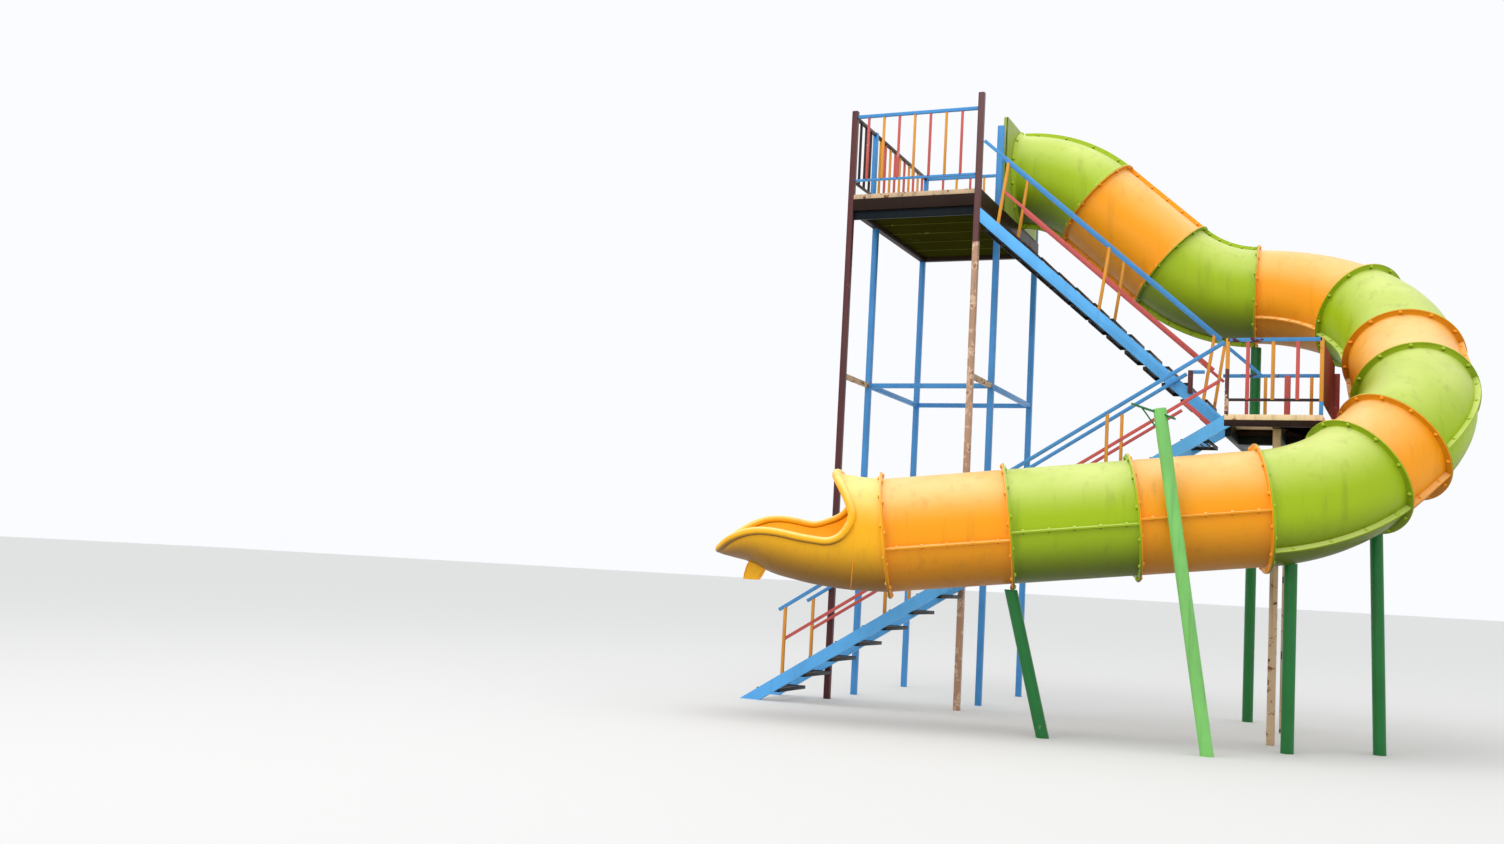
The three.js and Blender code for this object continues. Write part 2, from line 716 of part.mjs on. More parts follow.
function sectionGeometry(run, steps) {
  const wall = tubeOutline();
  wall.holes.push(new THREE.Path(polygon(tubeRadius - tubeWall).reverse()));
  const stations = stationsOf(run, steps);
  const last = stations.length - 1;
  const isFlange = (index) => index < 2 || index > last - 2;
  const flat = flatOf(tubeRadius + flangeReach);
  return reshape(drawOut(wall, stations), (x, y, z) => {
    const index = Math.round(z);
    const outward = Math.hypot(x, y);
    const isSeam = Math.abs(Math.abs(y) - seamHalf) < gap && outward > tubeRadius - tubeWall - seamHalf;
    let toSeam = x;
    let toBinormal = y;
    if (isFlange(index) && isSeam) {
      toSeam = Math.sign(x) * (Math.abs(x) > tubeRadius ? flat + seamProud : flat);
    } else if (isFlange(index) && outward > tubeRadius - tubeWall / 2) {
      toSeam = x * (1 + flangeReach / tubeRadius);
      toBinormal = y * (1 + flangeReach / tubeRadius);
    }
    return run.placeAt(stations[index], toSeam, toBinormal);
  });
}

const radians = THREE.MathUtils.degToRad;
function headingVector(turn, fall) {
  return point(Math.cos(turn) * Math.cos(fall), Math.sin(turn) * Math.cos(fall), -Math.sin(fall));
}

function upwardSide(direction, roll) {
  const up = new THREE.Vector3(0, 0, 1).addScaledVector(direction, -direction.z).normalize();
  return up.applyAxisAngle(direction, roll);
}

// The side of a bend that is its inside, square to the direction it starts in
const insideOf = (from, to) => to.clone().addScaledVector(from, -to.dot(from)).normalize();

// The angle about a direction from one vector that is square to it to another
function angleAbout(direction, from, to) {
  const beside = new THREE.Vector3().crossVectors(direction, from);
  return Math.atan2(to.dot(beside), to.dot(from));
}

// The headings at the start of the first section and at the end of each one
let turn = 0;
let fall = 0;
const headings = [headingVector(turn, fall)];
for (const section of tubeSections) {
  turn += radians(section.turn);
  fall += radians(section.fall);
  headings.push(headingVector(turn, fall));
}

// Lays the sections end to end from the panel. A section with a slight bend has the seam line of
// the one after it.
let position = tubeEntry.clone();
const runs = [];
for (const [index, section] of tubeSections.entries()) {
  const [from, to, beyond] = headings.slice(index);
  const angle = from.angleTo(to);
  let run;
  if (angle < radians(straightBelow)) {
    run = makeRun(position, from, upwardSide(from, radians(section.roll)), 0, section.length);
  } else {
    const inside = insideOf(from, to);
    const isSlight = angle < radians(slightBelow);
    const insideAtEnd = insideOf(to, from).negate();
    const seamTurn = isSlight ? angleAbout(to, insideAtEnd, insideOf(to, beyond)) : 0;
    run = makeRun(position, from, inside, angle, section.length, seamTurn);
  }
  runs.push(run);
  position = run.middleAt(1);
}
runs.forEach((run, index) => {
  const section = tubeSections[index];
  const steps = run.angle === 0 ? 1 : bendSteps;
  place(`tube_${index + 1}`, sectionGeometry(run, steps), section.colour, gelCoat);
});

// The open chute: a short collar that opens at the top, and a trough that flattens to its tip
const axisStart = position.clone();
const level = new THREE.Vector3(Math.cos(turn), Math.sin(turn), 0);
const across = new THREE.Vector3(-level.y, level.x, 0);
const smooth = THREE.MathUtils.smoothstep;

// Heights of the trough's floor and rims over the axis, and its half width, along the chute
const curveThrough = (heights) => new THREE.CatmullRomCurve3(
  heights.map(([along, height]) => point(along, 0, height)),
);
const floorRun = curveThrough(troughFloor);
const rimRun = curveThrough(troughRims);
function heightOn(curve, along) {
  let low = 0;
  let high = 1;
  for (let round = 0; round < searchRounds; round += 1) {
    const middle = (low + high) / 2;
    if (curve.getPoint(middle).x < along) {
      low = middle;
    } else {
      high = middle;
    }
  }
  return curve.getPoint(low).z;
}
function halfWidth(along) {
  const share = Math.max(0, (along - bowStart) / (chuteLength - bowStart));
  return tubeRadius * Math.sqrt(1 - share * share * bowNarrowing);
}

const chuteTilt = radians(chuteRoll);
function chutePoint(along, sideways, height) {
  const aside = sideways * Math.cos(chuteTilt) + height * Math.sin(chuteTilt);
  const above = height * Math.cos(chuteTilt) - sideways * Math.sin(chuteTilt);
  const onFloor = axisStart.clone().addScaledVector(level, along).addScaledVector(across, aside);
  return onFloor.add(point(0, 0, above));
}

// How far the collar reaches on its two sides, from -1 on the far side to 1 on the near side
const collarReach = (side) => THREE.MathUtils.lerp(collarAtFar, collarAtNear, (side + 1) / 2);

// The collar at the head of the chute: a flange, a short tube and a rolled edge that reaches
// further out at the top
const collarStations = [0, 0.04, 0.041, 0.5, 0.87, 0.875, 1];
const flangeStations = 2;
const beadStations = 2;
function collarGeometry() {
  const shape = new THREE.Shape(polygon(tubeRadius));
  shape.holes.push(new THREE.Path(polygon(tubeRadius - tubeWall).reverse()));
  return reshape(drawOut(shape, collarStations), (x, y, z) => {
    const index = Math.round(z);
    const share = collarStations[index];
    const isOuter = Math.hypot(x, y) > tubeRadius - tubeWall / 2;
    const height = y / tubeRadius;
    const reach = THREE.MathUtils.lerp(collarReach(x / tubeRadius), collarAtTop, smooth(height, 0, 1));
    let swell = 1 + collarSwell * share * share * smooth(height, 0, 1);
    if (isOuter && index < flangeStations) {
      swell += flangeReach / tubeRadius;
    }
    if (isOuter && index >= collarStations.length - beadStations) {
      swell += collarBead / tubeRadius;
    }
    const above = y * Math.cos(chuteTilt) - x * Math.sin(chuteTilt);
    const lean = (1 - share) * above * swell * Math.tan(fall);
    return chutePoint(gap + share * reach + lean, x * swell, y * swell);
  });
}

// The trough, drawn out as half a ring with thicker rims and laid along the chute
function troughGeometry() {
  const outline = [];
  const ringPoint = (radius, angle) => (
    new THREE.Vector2(radius * Math.cos(angle), radius * Math.sin(angle))
  );
  for (let index = 0; index <= troughSides; index += 1) {
    outline.push(ringPoint(2, Math.PI + Math.PI * index / troughSides));
  }
  for (let index = troughSides; index >= 0; index -= 1) {
    outline.push(ringPoint(1, Math.PI + Math.PI * index / troughSides));
  }
  const stations = [];
  for (let step = 0; step <= chuteSteps; step += 1) {
    stations.push(step);
  }
  return reshape(drawOut(new THREE.Shape(outline), stations), (x, y, z) => {
    const isOuter = Math.hypot(x, y) > 1.5;
    const isRim = Math.abs(y) < 1e-6;
    const side = x / Math.hypot(x, y);
    const from = collarReach(side) - chuteBead;
    const along = from + (chuteLength - from) * z / chuteSteps;
    const low = heightOn(floorRun, along);
    const farRise = farRimRise * (1 - side) / 2 * (1 - smooth(along, collarAtFar, farRimRiseEnd));
    const high = heightOn(rimRun, along) + farRise;
    let wall = isOuter ? chuteWall : 0;
    if (isRim) {
      wall = isOuter ? chuteBead + chuteWall : -chuteBead / 2;
    }
    const centre = Math.min(high, low + tubeRadius);
    const over = Math.asin((high - centre) / tubeRadius);
    const below = Math.atan2(y, Math.abs(x)) + quarterTurn;
    const angle = below * (1 + over / quarterTurn) - quarterTurn;
    const width = halfWidth(along) + wall - chuteWall - troughInset;
    const depth = centre - low + wall - chuteWall - troughInset;
    const rise = isRim ? chuteBead : 0;
    const sideways = Math.sign(x) * width * Math.cos(angle);
    return chutePoint(along, sideways, centre + depth * Math.sin(angle) + rise);
  });
}

// The foot under the trough: its top follows the trough's floor
const foot = reshape(new THREE.BoxGeometry(footLength, footWidth, 2), (x, y, z) => {
  const along = footAlong + x;
  const corner = chutePoint(along, y, heightOn(floorRun, along) + chuteWall - footSink);
  if (z < 0) {
    corner.addScaledVector(level, footLean);
    corner.z = footLow;
  }
  return corner;
});
place('exit_chute', joined([collarGeometry(), troughGeometry(), foot]), chuteYellow, gelCoat);

// Round posts under the tube, each ended just below the section that it carries. The head gives
// the way that a post leans.
const underGround = block(-farAway, farAway, -farAway, farAway, -farAway, 0);
const standAxis = (base, head) => new THREE.Vector3().subVectors(head, base).normalize();

function standUnder(sections, base, head) {
  const along = standAxis(base, head);
  const low = base.clone().addScaledVector(along, -standRadius);
  const high = head.clone().addScaledVector(along, tubeRadius / 2);
  const post = roundBar(low, high, standRadius, standSides);
  const undersides = sections.map((section) => {
    const carried = toSolid(tower.getObjectByName(`tube_${section}`).geometry);
    return toSolid(post).intersect(carried).boundingBox().min[2];
  });
  const top = Math.min(...undersides) - gap;
  const overTop = block(-farAway, farAway, -farAway, farAway, top, farAway);
  place(`stand_under_${sections[0]}`, cut(post, [underGround, overTop]), darkGreen, roundPaint);
}

const firstJoint = runs[firstStandCarries[0] - 1].middleAt(1);
standUnder(firstStandCarries, point(firstJoint.x, firstJoint.y, 0), firstJoint);
for (const { carries, base, head } of standPlaces) {
  standUnder(carries, point(...base), point(...head));
}

const leaningPoint = ([x, z]) => point(x, leaningY, z);
const leaningAxis = standAxis(leaningPoint(leaningBase), leaningPoint(leaningTop));
const leaningLow = leaningPoint(leaningBase).addScaledVector(leaningAxis, -standRadius);
place('leaning_stand', cut(joined([
  roundBar(leaningLow, leaningPoint(leaningTop), standRadius, standSides),
  bar(...plateEnds.map(leaningPoint), plateWidth, plateThickness),
  bar(...stayEnds.map(leaningPoint), stayWidth, stayThickness),
]), [underGround]), freshGreen, roundPaint);

// The origin goes to the middle of the footprint, on the ground
const bounds = new THREE.Box3().setFromObject(tower);
tower.position.set(-(bounds.min.x + bounds.max.x) / 2, -(bounds.min.y + bounds.max.y) / 2, -bounds.min.z);

const group = new THREE.Group();
group.add(tower);

export default group;
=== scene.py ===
import math

import bmesh
import bpy
from mathutils import Matrix, Vector


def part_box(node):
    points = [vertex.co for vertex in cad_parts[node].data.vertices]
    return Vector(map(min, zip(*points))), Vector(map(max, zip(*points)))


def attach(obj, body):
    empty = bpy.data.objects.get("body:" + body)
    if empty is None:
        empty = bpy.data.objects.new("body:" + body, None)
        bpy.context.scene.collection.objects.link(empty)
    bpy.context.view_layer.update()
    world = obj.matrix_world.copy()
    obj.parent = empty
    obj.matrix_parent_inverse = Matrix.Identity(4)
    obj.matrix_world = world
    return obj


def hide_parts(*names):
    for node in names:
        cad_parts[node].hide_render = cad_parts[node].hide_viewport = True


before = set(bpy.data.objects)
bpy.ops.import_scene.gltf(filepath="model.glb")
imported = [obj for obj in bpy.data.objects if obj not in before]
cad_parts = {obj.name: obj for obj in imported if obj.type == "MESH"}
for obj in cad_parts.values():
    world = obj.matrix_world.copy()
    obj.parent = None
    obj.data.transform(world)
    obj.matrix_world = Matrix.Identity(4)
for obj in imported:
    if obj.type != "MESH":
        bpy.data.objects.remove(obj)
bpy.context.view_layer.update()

# A water slide tower of painted steel with a slide of bolted gel-coat sections. Metres, +Z up.
# The tower is laid out from its front left post: place() turns a place measured from that
# post's middle on the ground into the scene's own.
first_low, first_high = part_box("front_left_post")
CORNER = Vector(((first_low.x + first_high.x) / 2, (first_low.y + first_high.y) / 2, 0))


def place(x, y, z):
    return CORNER + Vector((x, y, z))


def shares(count):
    """Even steps from 0 to 1."""
    return [number / count for number in range(count + 1)]


def spaced(first, pitch, count):
    return [first + pitch * number for number in range(count)]


# Colours


def tone(code):
    """The linear colour of an sRGB code such as 8fbf1f."""
    channels = [int(code[start:start + 2], 16) / 255 for start in (0, 2, 4)]
    linear = [c / 12.92 if c <= 0.04045 else ((c + 0.055) / 1.055) ** 2.4 for c in channels]
    return (*linear, 1)


BLUE = "4795d6"
MAROON = "582829"
DARK_MAROON = "35211e"
AMBER = "e39a30"
OLIVE = "313109"
GEL_GREEN = "a4c010"
GEL_YELLOW = "ffa408"
RUST = "7a4526"
PRIMER = "b98a70"
GRIME = "40392a"
FADING = (0.83, 0.83, 0.83, 1)
CHALK = (0.9, 0.88, 0.8, 1)


# Shader nodes


class Nodes:
    """Adds nodes to one shader tree."""

    def __init__(self, tree):
        self.tree = tree

    def feed(self, value, socket):
        """Links a node's output to a socket, or sets the socket's own value, a colour by its code."""
        if isinstance(value, bpy.types.NodeSocket):
            self.tree.links.new(value, socket)
        else:
            socket.default_value = tone(value) if isinstance(value, str) else value

    def add(self, kind, values, **settings):
        """The outputs of a new node of the kind, with its inputs' values and its settings."""
        node = self.tree.nodes.new(f"ShaderNode{kind}")
        for name, setting in settings.items():
            setattr(node, name, setting)
        for socket, value in values.items():
            self.feed(value, node.inputs[socket])
        return node.outputs

    def effect(self, group, **values):
        """The outputs of a node group. Its input Bare from is given as bare_from, and so on."""
        labels = {name.replace("_", " ").capitalize(): value for name, value in values.items()}
        return self.add("Group", labels, node_tree=group)

    def places(self, stretch=(1, 1, 1)):
        """Object coordinates, stretched by the given amounts."""
        whole = self.add("TexCoord", {})["Object"]
        return self.add("Mapping", {"Vector": whole, "Scale": stretch})["Vector"]

    def height_of(self, vector):
        return self.add("SeparateXYZ", {0: vector})["Z"]

    def noise(self, vector, scale, detail=4.0, roughness=0.55):
        values = {"Vector": vector, "Scale": scale, "Detail": detail, "Roughness": roughness}
        return self.add("TexNoise", values)["Fac"]

    def spread(self, value, low, high, to_low=0.0, to_high=1.0):
        """Maps low to high of a value smoothly to the two given ends."""
        values = {"Value": value, "From Min": low, "From Max": high, "To Min": to_low, "To Max": to_high}
        return self.add("MapRange", values, interpolation_type="SMOOTHSTEP")["Result"]

    def calculate(self, operation, first, second):
        return self.add("Math", {0: first, 1: second}, operation=operation)[0]

    def plus(self, first, second):
        return self.calculate("ADD", first, second)

    def times(self, first, second):
        return self.calculate("MULTIPLY", first, second)

    def blend(self, factor, first, second, way="MIX"):
        values = {"Factor": factor, "A": first, "B": second}
        return self.add("Mix", values, data_type="RGBA", blend_type=way)["Result"]


# Surface effects that several materials share


def new_group(name, inputs):
    """A node group with the given inputs, and a surface's colour, roughness and height as outputs."""
    group = bpy.data.node_groups.new(name, "ShaderNodeTree")
    nodes = Nodes(group)
    for label, value in inputs.items():
        kind = "NodeSocketColor" if isinstance(value, str) else "NodeSocketFloat"
        nodes.feed(value, group.interface.new_socket(label, in_out="INPUT", socket_type=kind))
    group.interface.new_socket("Color", in_out="OUTPUT", socket_type="NodeSocketColor")
    for label in ("Roughness", "Height"):
        group.interface.new_socket(label, in_out="OUTPUT", socket_type="NodeSocketFloat")
    given = group.nodes.new("NodeGroupInput").outputs
    results = group.nodes.new("NodeGroupOutput").inputs
    return group, nodes, given, results


def make_paint_group():
    """Brushed enamel over primer: patches worn to the primer, rust in their middles and dirt runs."""
    group, nodes, given, results = new_group("worn paint", {
        "Paint": BLUE, "Primer": PRIMER, "Rust": RUST, "Bare from": 0.66, "Patch scale": 9.0, "Dirt": 0.25,
        "Roughness": 0.35})
    places = nodes.places()
    start = given["Bare from"]
    patches = nodes.noise(places, given["Patch scale"], detail=8.0, roughness=0.62)
    bare = nodes.spread(patches, start, nodes.plus(start, 0.02))
    rusty = nodes.spread(patches, nodes.plus(start, 0.035), nodes.plus(start, 0.09))
    clouds = nodes.spread(nodes.noise(places, scale=2.6), 0.3, 0.7)
    runs = nodes.spread(nodes.noise(nodes.places((22, 22, 1.1)), scale=1.0), 0.5, 0.75)
    fine = nodes.noise(places, scale=140.0, detail=3.0)
    toned = nodes.blend(clouds, given["Paint"], FADING, "MULTIPLY")
    soiled = nodes.blend(nodes.times(runs, given["Dirt"]), toned, GRIME)
    chipped = nodes.blend(bare, soiled, given["Primer"])
    rough = nodes.plus(given["Roughness"], nodes.times(bare, 0.4))
    nodes.feed(nodes.blend(rusty, chipped, given["Rust"]), results["Color"])
    nodes.feed(nodes.plus(rough, nodes.times(fine, 0.12)), results["Roughness"])
    nodes.feed(nodes.calculate("SUBTRACT", nodes.times(fine, 0.35), bare), results["Height"])
    return group


def make_gel_group():
    """Gel coat over glass fibre: a painted highlight on top for the sky's reflection, painted shade
    underneath, dirt runs, pale scuffs and a faint ripple.
    """
    group, nodes, given, results = new_group("gel coat", {
        "Gel": GEL_GREEN, "Bleached": GEL_YELLOW, "Underside": OLIVE, "Dirt": 0.2})
    places = nodes.places()
    # Painted light: faces that point up are mixed towards the painted highlight colour, which stands for the
    # sky's reflection, and faces that point down towards the painted shade colour.
    rise = nodes.height_of(nodes.add("NewGeometry", {})["Normal"])
    upward = nodes.spread(rise, 0.05, 1.0)
    downward = nodes.spread(rise, -0.1, -0.95)
    clouds = nodes.spread(nodes.noise(places, scale=1.7), 0.3, 0.7)
    runs = nodes.spread(nodes.noise(nodes.places((13, 13, 0.9)), scale=1.0, detail=6.0), 0.52, 0.8)
    film = nodes.spread(nodes.noise(places, scale=5.5, detail=8.0, roughness=0.7), 0.55, 0.8)
    streaks = nodes.noise(nodes.places((60, 60, 9)), scale=1.0, detail=3.0, roughness=0.75)
    scuffs = nodes.spread(streaks, 0.72, 0.78)
    # Painted shade on the undersides, then the painted highlight on the tops.
    lower = nodes.blend(downward, given["Gel"], given["Underside"])
    highlight_share = nodes.times(upward, nodes.spread(clouds, 0.0, 1.0, 0.6, 0.95))
    toned = nodes.blend(highlight_share, lower, given["Bleached"])
    soiling = nodes.times(nodes.calculate("MAXIMUM", runs, film), given["Dirt"])
    soiled = nodes.blend(soiling, toned, GRIME)
    dull = nodes.plus(nodes.times(soiling, 0.5), nodes.times(scuffs, 0.3))
    ripple = nodes.times(nodes.noise(places, scale=9.0, detail=2.0), 0.6)
    grain = nodes.times(nodes.noise(places, scale=70.0), 0.2)
    nodes.feed(nodes.blend(nodes.times(scuffs, 0.25), soiled, CHALK), results["Color"])
    nodes.feed(nodes.plus(dull, nodes.spread(clouds, 0.0, 1.0, 0.36, 0.48)), results["Roughness"])
    nodes.feed(nodes.plus(ripple, grain), results["Height"])
    return group


# Materials

PAINT_GROUP = make_paint_group()
GEL_GROUP = make_gel_group()
PAINT = {}
GEL = {}
PAINT_RELIEF = {"Strength": 0.35, "Distance": 0.0012}
GEL_RELIEF = {"Strength": 0.3, "Distance": 0.004}
GEL_FILM = {"Specular IOR Level": 0.25, "Coat Weight": 0.06, "Coat Roughness": 0.3}


def new_material(name):
    """A material, its nodes and its shader's inputs."""
    material = bpy.data.materials.new(name)
    material.use_nodes = True
    return material, Nodes(material.node_tree), material.node_tree.nodes["Principled BSDF"].inputs


def surface(nodes, shader, colour, effect, relief):
    """Feeds the shader a colour, and an effect's roughness and height."""
    nodes.feed(colour, shader["Base Color"])
    nodes.feed(effect["Roughness"], shader["Roughness"])
    nodes.feed(nodes.add("Bump", {"Height": effect["Height"], **relief})["Normal"], shader["Normal"])


def add_paint(name, paint, shine=0.3, **wear):
    """An enamel paint. Its wear is given as the inputs of the worn paint group."""
    material, nodes, shader = new_material(f"{name} enamel")
    effect = nodes.effect(PAINT_GROUP, paint=paint, **wear)
    surface(nodes, shader, effect["Color"], effect, PAINT_RELIEF)
    shader["Specular IOR Level"].default_value = shine
    PAINT[name] = material


def add_gel(name, gel, bleached, underside, dirt=0.2, glow=0.0):
    """A gel coat with a gloss film over it, a painted highlight on its top faces and painted shade under it.
    The glow is the daylight that comes through the shell.
    """
    material, nodes, shader = new_material(f"{name} gel coat")
    effect = nodes.effect(GEL_GROUP, gel=gel, bleached=bleached, underside=underside, dirt=dirt)
    surface(nodes, shader, effect["Color"], effect, GEL_RELIEF)
    if glow:
        nodes.feed(effect["Color"], shader["Emission Color"])
        shader["Emission Strength"].default_value = glow
    for label, value in GEL_FILM.items():
        shader[label].default_value = value
    GEL[name] = material


def part_stripped(name, paint, bare, border):
    """A post painted above a height and left bare and blotched below it."""
    material, nodes, shader = new_material(name)
    upper = nodes.effect(PAINT_GROUP, paint=paint)
    lower = nodes.effect(PAINT_GROUP, paint=bare, primer="d8b79b", rust="9c6b4a", bare_from=0.52, dirt=0.5)
    places = nodes.places()
    ragged = nodes.times(nodes.noise(places, scale=30.0), 0.05)
    share = nodes.spread(nodes.plus(nodes.height_of(places), ragged), border + 0.02, border + 0.03)
    surface(nodes, shader, nodes.blend(share, lower["Color"], upper["Color"]), upper, PAINT_RELIEF)
    return material


add_paint("blue", BLUE, bare_from=0.7, dirt=0.18)
add_paint("stair blue", "5eb6f8", bare_from=0.7, dirt=0.12)
# The frames' maroon darkened to a deep brown: painted shade for the shade that their faces stand in.
add_paint("maroon in painted shade", "2a1a14", shine=0.1, primer="6b4638", dirt=0.1)
add_paint("maroon", MAROON, primer="8f5a4a")
add_paint("matt maroon", "925044", shine=0.0, primer="9a6654", bare_from=0.7, dirt=0.1, roughness=0.9)
add_paint("dark maroon", DARK_MAROON, primer="6b4238", bare_from=0.68)
add_paint("tan", "d2b592", primer="8d5f43", rust="5c3826", bare_from=0.57, patch_scale=14.0, dirt=0.5,
          roughness=0.6)
add_paint("pale tan", "f4d9ae", primer="b58a62", rust="7a4a30", bare_from=0.62, patch_scale=14.0, dirt=0.3,
          roughness=0.6)
add_paint("navy", "101a20", shine=0.1, primer="3a3430", bare_from=0.7, dirt=0.1)
add_paint("coral", "cf5a55", primer="d98a80")
add_paint("amber", AMBER, primer="c9823a", rust="8a4a2c")
add_paint("olive", OLIVE, shine=0.0, primer="4b4a20", dirt=0.1)
add_paint("pale olive", "4a4a18", shine=0.0, primer="7a7640", dirt=0.2)
add_paint("dark green", "1c7434", primer="7d9a6a", bare_from=0.7, roughness=0.28)
add_paint("fresh green", "84d06e", primer="9fca86", bare_from=0.72, roughness=0.3)
add_paint("black", "1d1d20", primer="5a4438", bare_from=0.63, roughness=0.45)
add_paint("patched blue", BLUE, primer=MAROON, rust=DARK_MAROON, bare_from=0.56, patch_scale=5.0)
# Each gel coat: its colour, the painted highlight colour of its top faces and the painted shade colour of
# its undersides.
add_gel("green", GEL_GREEN, "e0ea8c", "4e5c02")
add_gel("yellow", GEL_YELLOW, "ffdb94", "a86c04")
add_gel("gold", "ffba14", "fff09a", "7c5404")
# The chute's inside is a lighter copy of the gold that glows: painted light for the daylight that comes
# through the shell.
add_gel("gold inside", "ffae1c", "ffc840", "f89a10", dirt=0.1, glow=0.2)
add_gel("panel", "98ac44", "a9c25e", "5f6c22", dirt=0.35)
bare_post = part_stripped("maroon over bare post", MAROON, "bb9172", border=4.225)


# Mesh helpers

SHARP = math.radians(32)
FLAT = math.radians(0.5)
SAME_PLACE = 2e-5
WELD = 1e-5
STEEL_EASE = 0.004
THIN_EASE = 0.0025


def add_object(name, data):
    added = bpy.data.objects.new(name, data)
    bpy.context.scene.collection.objects.link(added)
    return added


def add_mesh(name, bm, materials):
    """Makes the bmesh an object."""
    mesh = bpy.data.meshes.new(name)
    bm.to_mesh(mesh)
    bm.free()
    for material in materials:
        mesh.materials.append(material)
    return add_object(name, mesh)


def finish_piece(node, kind, bm, slot, *materials):
    """Makes the bmesh the piece that stands for a node, smooth but for the edges at an angle."""
    for face in bm.faces:
        face.smooth = True
    for edge in bm.edges:
        edge.smooth = edge.is_manifold and edge.calc_face_angle() < SHARP
    piece = add_mesh(f"{node}_{kind}", bm, materials)
    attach(piece, "root")
    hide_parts(node)


def merged_copy(node):
    """The node's mesh as one skin with flat faces made whole."""
    bm = bmesh.new()
    bm.from_mesh(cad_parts[node].data)
    bmesh.ops.remove_doubles(bm, verts=bm.verts, dist=SAME_PLACE)
    bmesh.ops.dissolve_limit(bm, angle_limit=FLAT, verts=bm.verts, edges=bm.edges)
    return bm


def ease_edges(bm, width):
    """Rounds the outer edges."""
    edges = [edge for edge in bm.edges
             if edge.is_manifold and edge.calc_face_angle() > SHARP and edge.is_convex]
    bmesh.ops.bevel(bm, geom=edges, offset=width, segments=2, profile=0.5, affect="EDGES", material=-1,
                    clamp_overlap=True)


def refined(node, material, slot):
    """A node with eased edges."""
    bm = merged_copy(node)
    ease_edges(bm, STEEL_EASE)
    finish_piece(node, "steel", bm, slot, material)


# Posts, braces and beams of the tower

SLOTS = {"maroon": "maroon_paint", "maroon in painted shade": "maroon_paint", "blue": "blue_paint", "tan": "tan_paint",
         "pale tan": "tan_paint", "navy": "navy_paint"}
plain_steel = {
    "front_left_post": "maroon", "middle_left_post": "blue", "middle_right_post": "blue",
    "rear_left_post": "blue", "rear_right_post": "blue", "middle_brace": "blue", "rear_brace": "blue",
    "left_brace": "blue", "right_brace": "blue", "left_tie": "tan", "right_tie": "tan",
    # The deck's and landing's frames take the maroon darkened by painted shade.
    "deck_frame": "maroon in painted shade", "deck_floor": "tan", "front_under_beam": "navy", "entrance_post": "blue",
    "landing_frame": "maroon in painted shade", "landing_floor": "pale tan", "landing_beams": "navy",
    "landing_near_column": "tan", "landing_far_column": "tan",
}
for node, paint in plain_steel.items():
    refined(node, PAINT[paint], SLOTS[paint])
refined("front_right_post", bare_post, "maroon_paint")


# Bars, of which the guards, handrails and treads are welded

UPRIGHT_FROM = 0.99


def linked_to(verts, what):
    """The edges or faces at the given vertices, each once and in order."""
    return list(dict.fromkeys(item for vert in verts for item in getattr(vert, what)))


def add_bar(bm, start, end, width, depth, ease, material=0):
    """A square-edged bar between two places, its depth upwards."""
    along = (end - start).normalized()
    reference = Vector((0, 0, 1)) if abs(along.z) < UPRIGHT_FROM else Vector((1, 0, 0))
    across = reference.cross(along).normalized()
    turn = Matrix((along, across, along.cross(across))).transposed().to_4x4()
    size = Matrix.Diagonal(((end - start).length, width, depth, 1))
    middle = Matrix.Translation((start + end) / 2)
    verts = bmesh.ops.create_cube(bm, size=1, matrix=middle @ turn @ size)["verts"]
    for face in linked_to(verts, "link_faces"):
        face.material_index = material
    bmesh.ops.bevel(bm, geom=linked_to(verts, "link_edges"), offset=ease, segments=2, profile=0.5,
                    affect="EDGES", material=-1)


# The newel that hangs over the lower flight's far stringer, with a blue stub of a rail

NEWEL_WIDTH = 0.04
NEWEL_DEPTH = 0.036
STUB_DEPTH = 0.027
newel_low, newel_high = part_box("lower_newel")
newel_x = newel_low.x + NEWEL_WIDTH / 2
newel_y = (newel_low.y + newel_high.y) / 2
stub_z = newel_high.z - STUB_DEPTH / 2
bm = bmesh.new()
add_bar(bm, Vector((newel_x, newel_y, newel_low.z)), Vector((newel_x, newel_y, newel_high.z)),
        NEWEL_DEPTH, NEWEL_WIDTH, STEEL_EASE)
add_bar(bm, Vector((newel_low.x + NEWEL_WIDTH, newel_y, stub_z)), Vector((newel_high.x, newel_y, stub_z)),
        NEWEL_DEPTH, STUB_DEPTH, STEEL_EASE, 1)
finish_piece("lower_newel", "bars", bm, "maroon_paint", PAINT["maroon"], PAINT["blue"])


# Guards of the deck. The balusters are painted coral and amber in turn.

DECK_TOP = 4.718
DECK_WIDTH = 1.228
GUARD_TOP = DECK_TOP + 0.774
POST_HEAD = GUARD_TOP + 0.008
LOW_RAIL = DECK_TOP + 0.141
POST_FACE = 0.0278
LEFT_MIDDLE = 0.594
REAR = 2.280
BALUSTER_PITCH = 0.152
BALUSTERS = 7
FRONT_FIRST = 0.138
REAR_FIRST = 0.19
DARK_BALUSTERS = 3
LEFT_BALUSTERS = 10
RAIL_SIDE = 0.03
BALUSTER_SIDE = 0.022
GUARD_POST = 0.045
guard_paints = [PAINT[name] for name in ("blue", "coral", "amber", "dark maroon")]
BLUE_BAR, CORAL_BAR, AMBER_BAR, DARK_BAR = range(len(guard_paints))


def add_upright(bm, x, y, low, high, side, material):
    add_bar(bm, place(x, y, low), place(x, y, high), side, side, THIN_EASE, material)


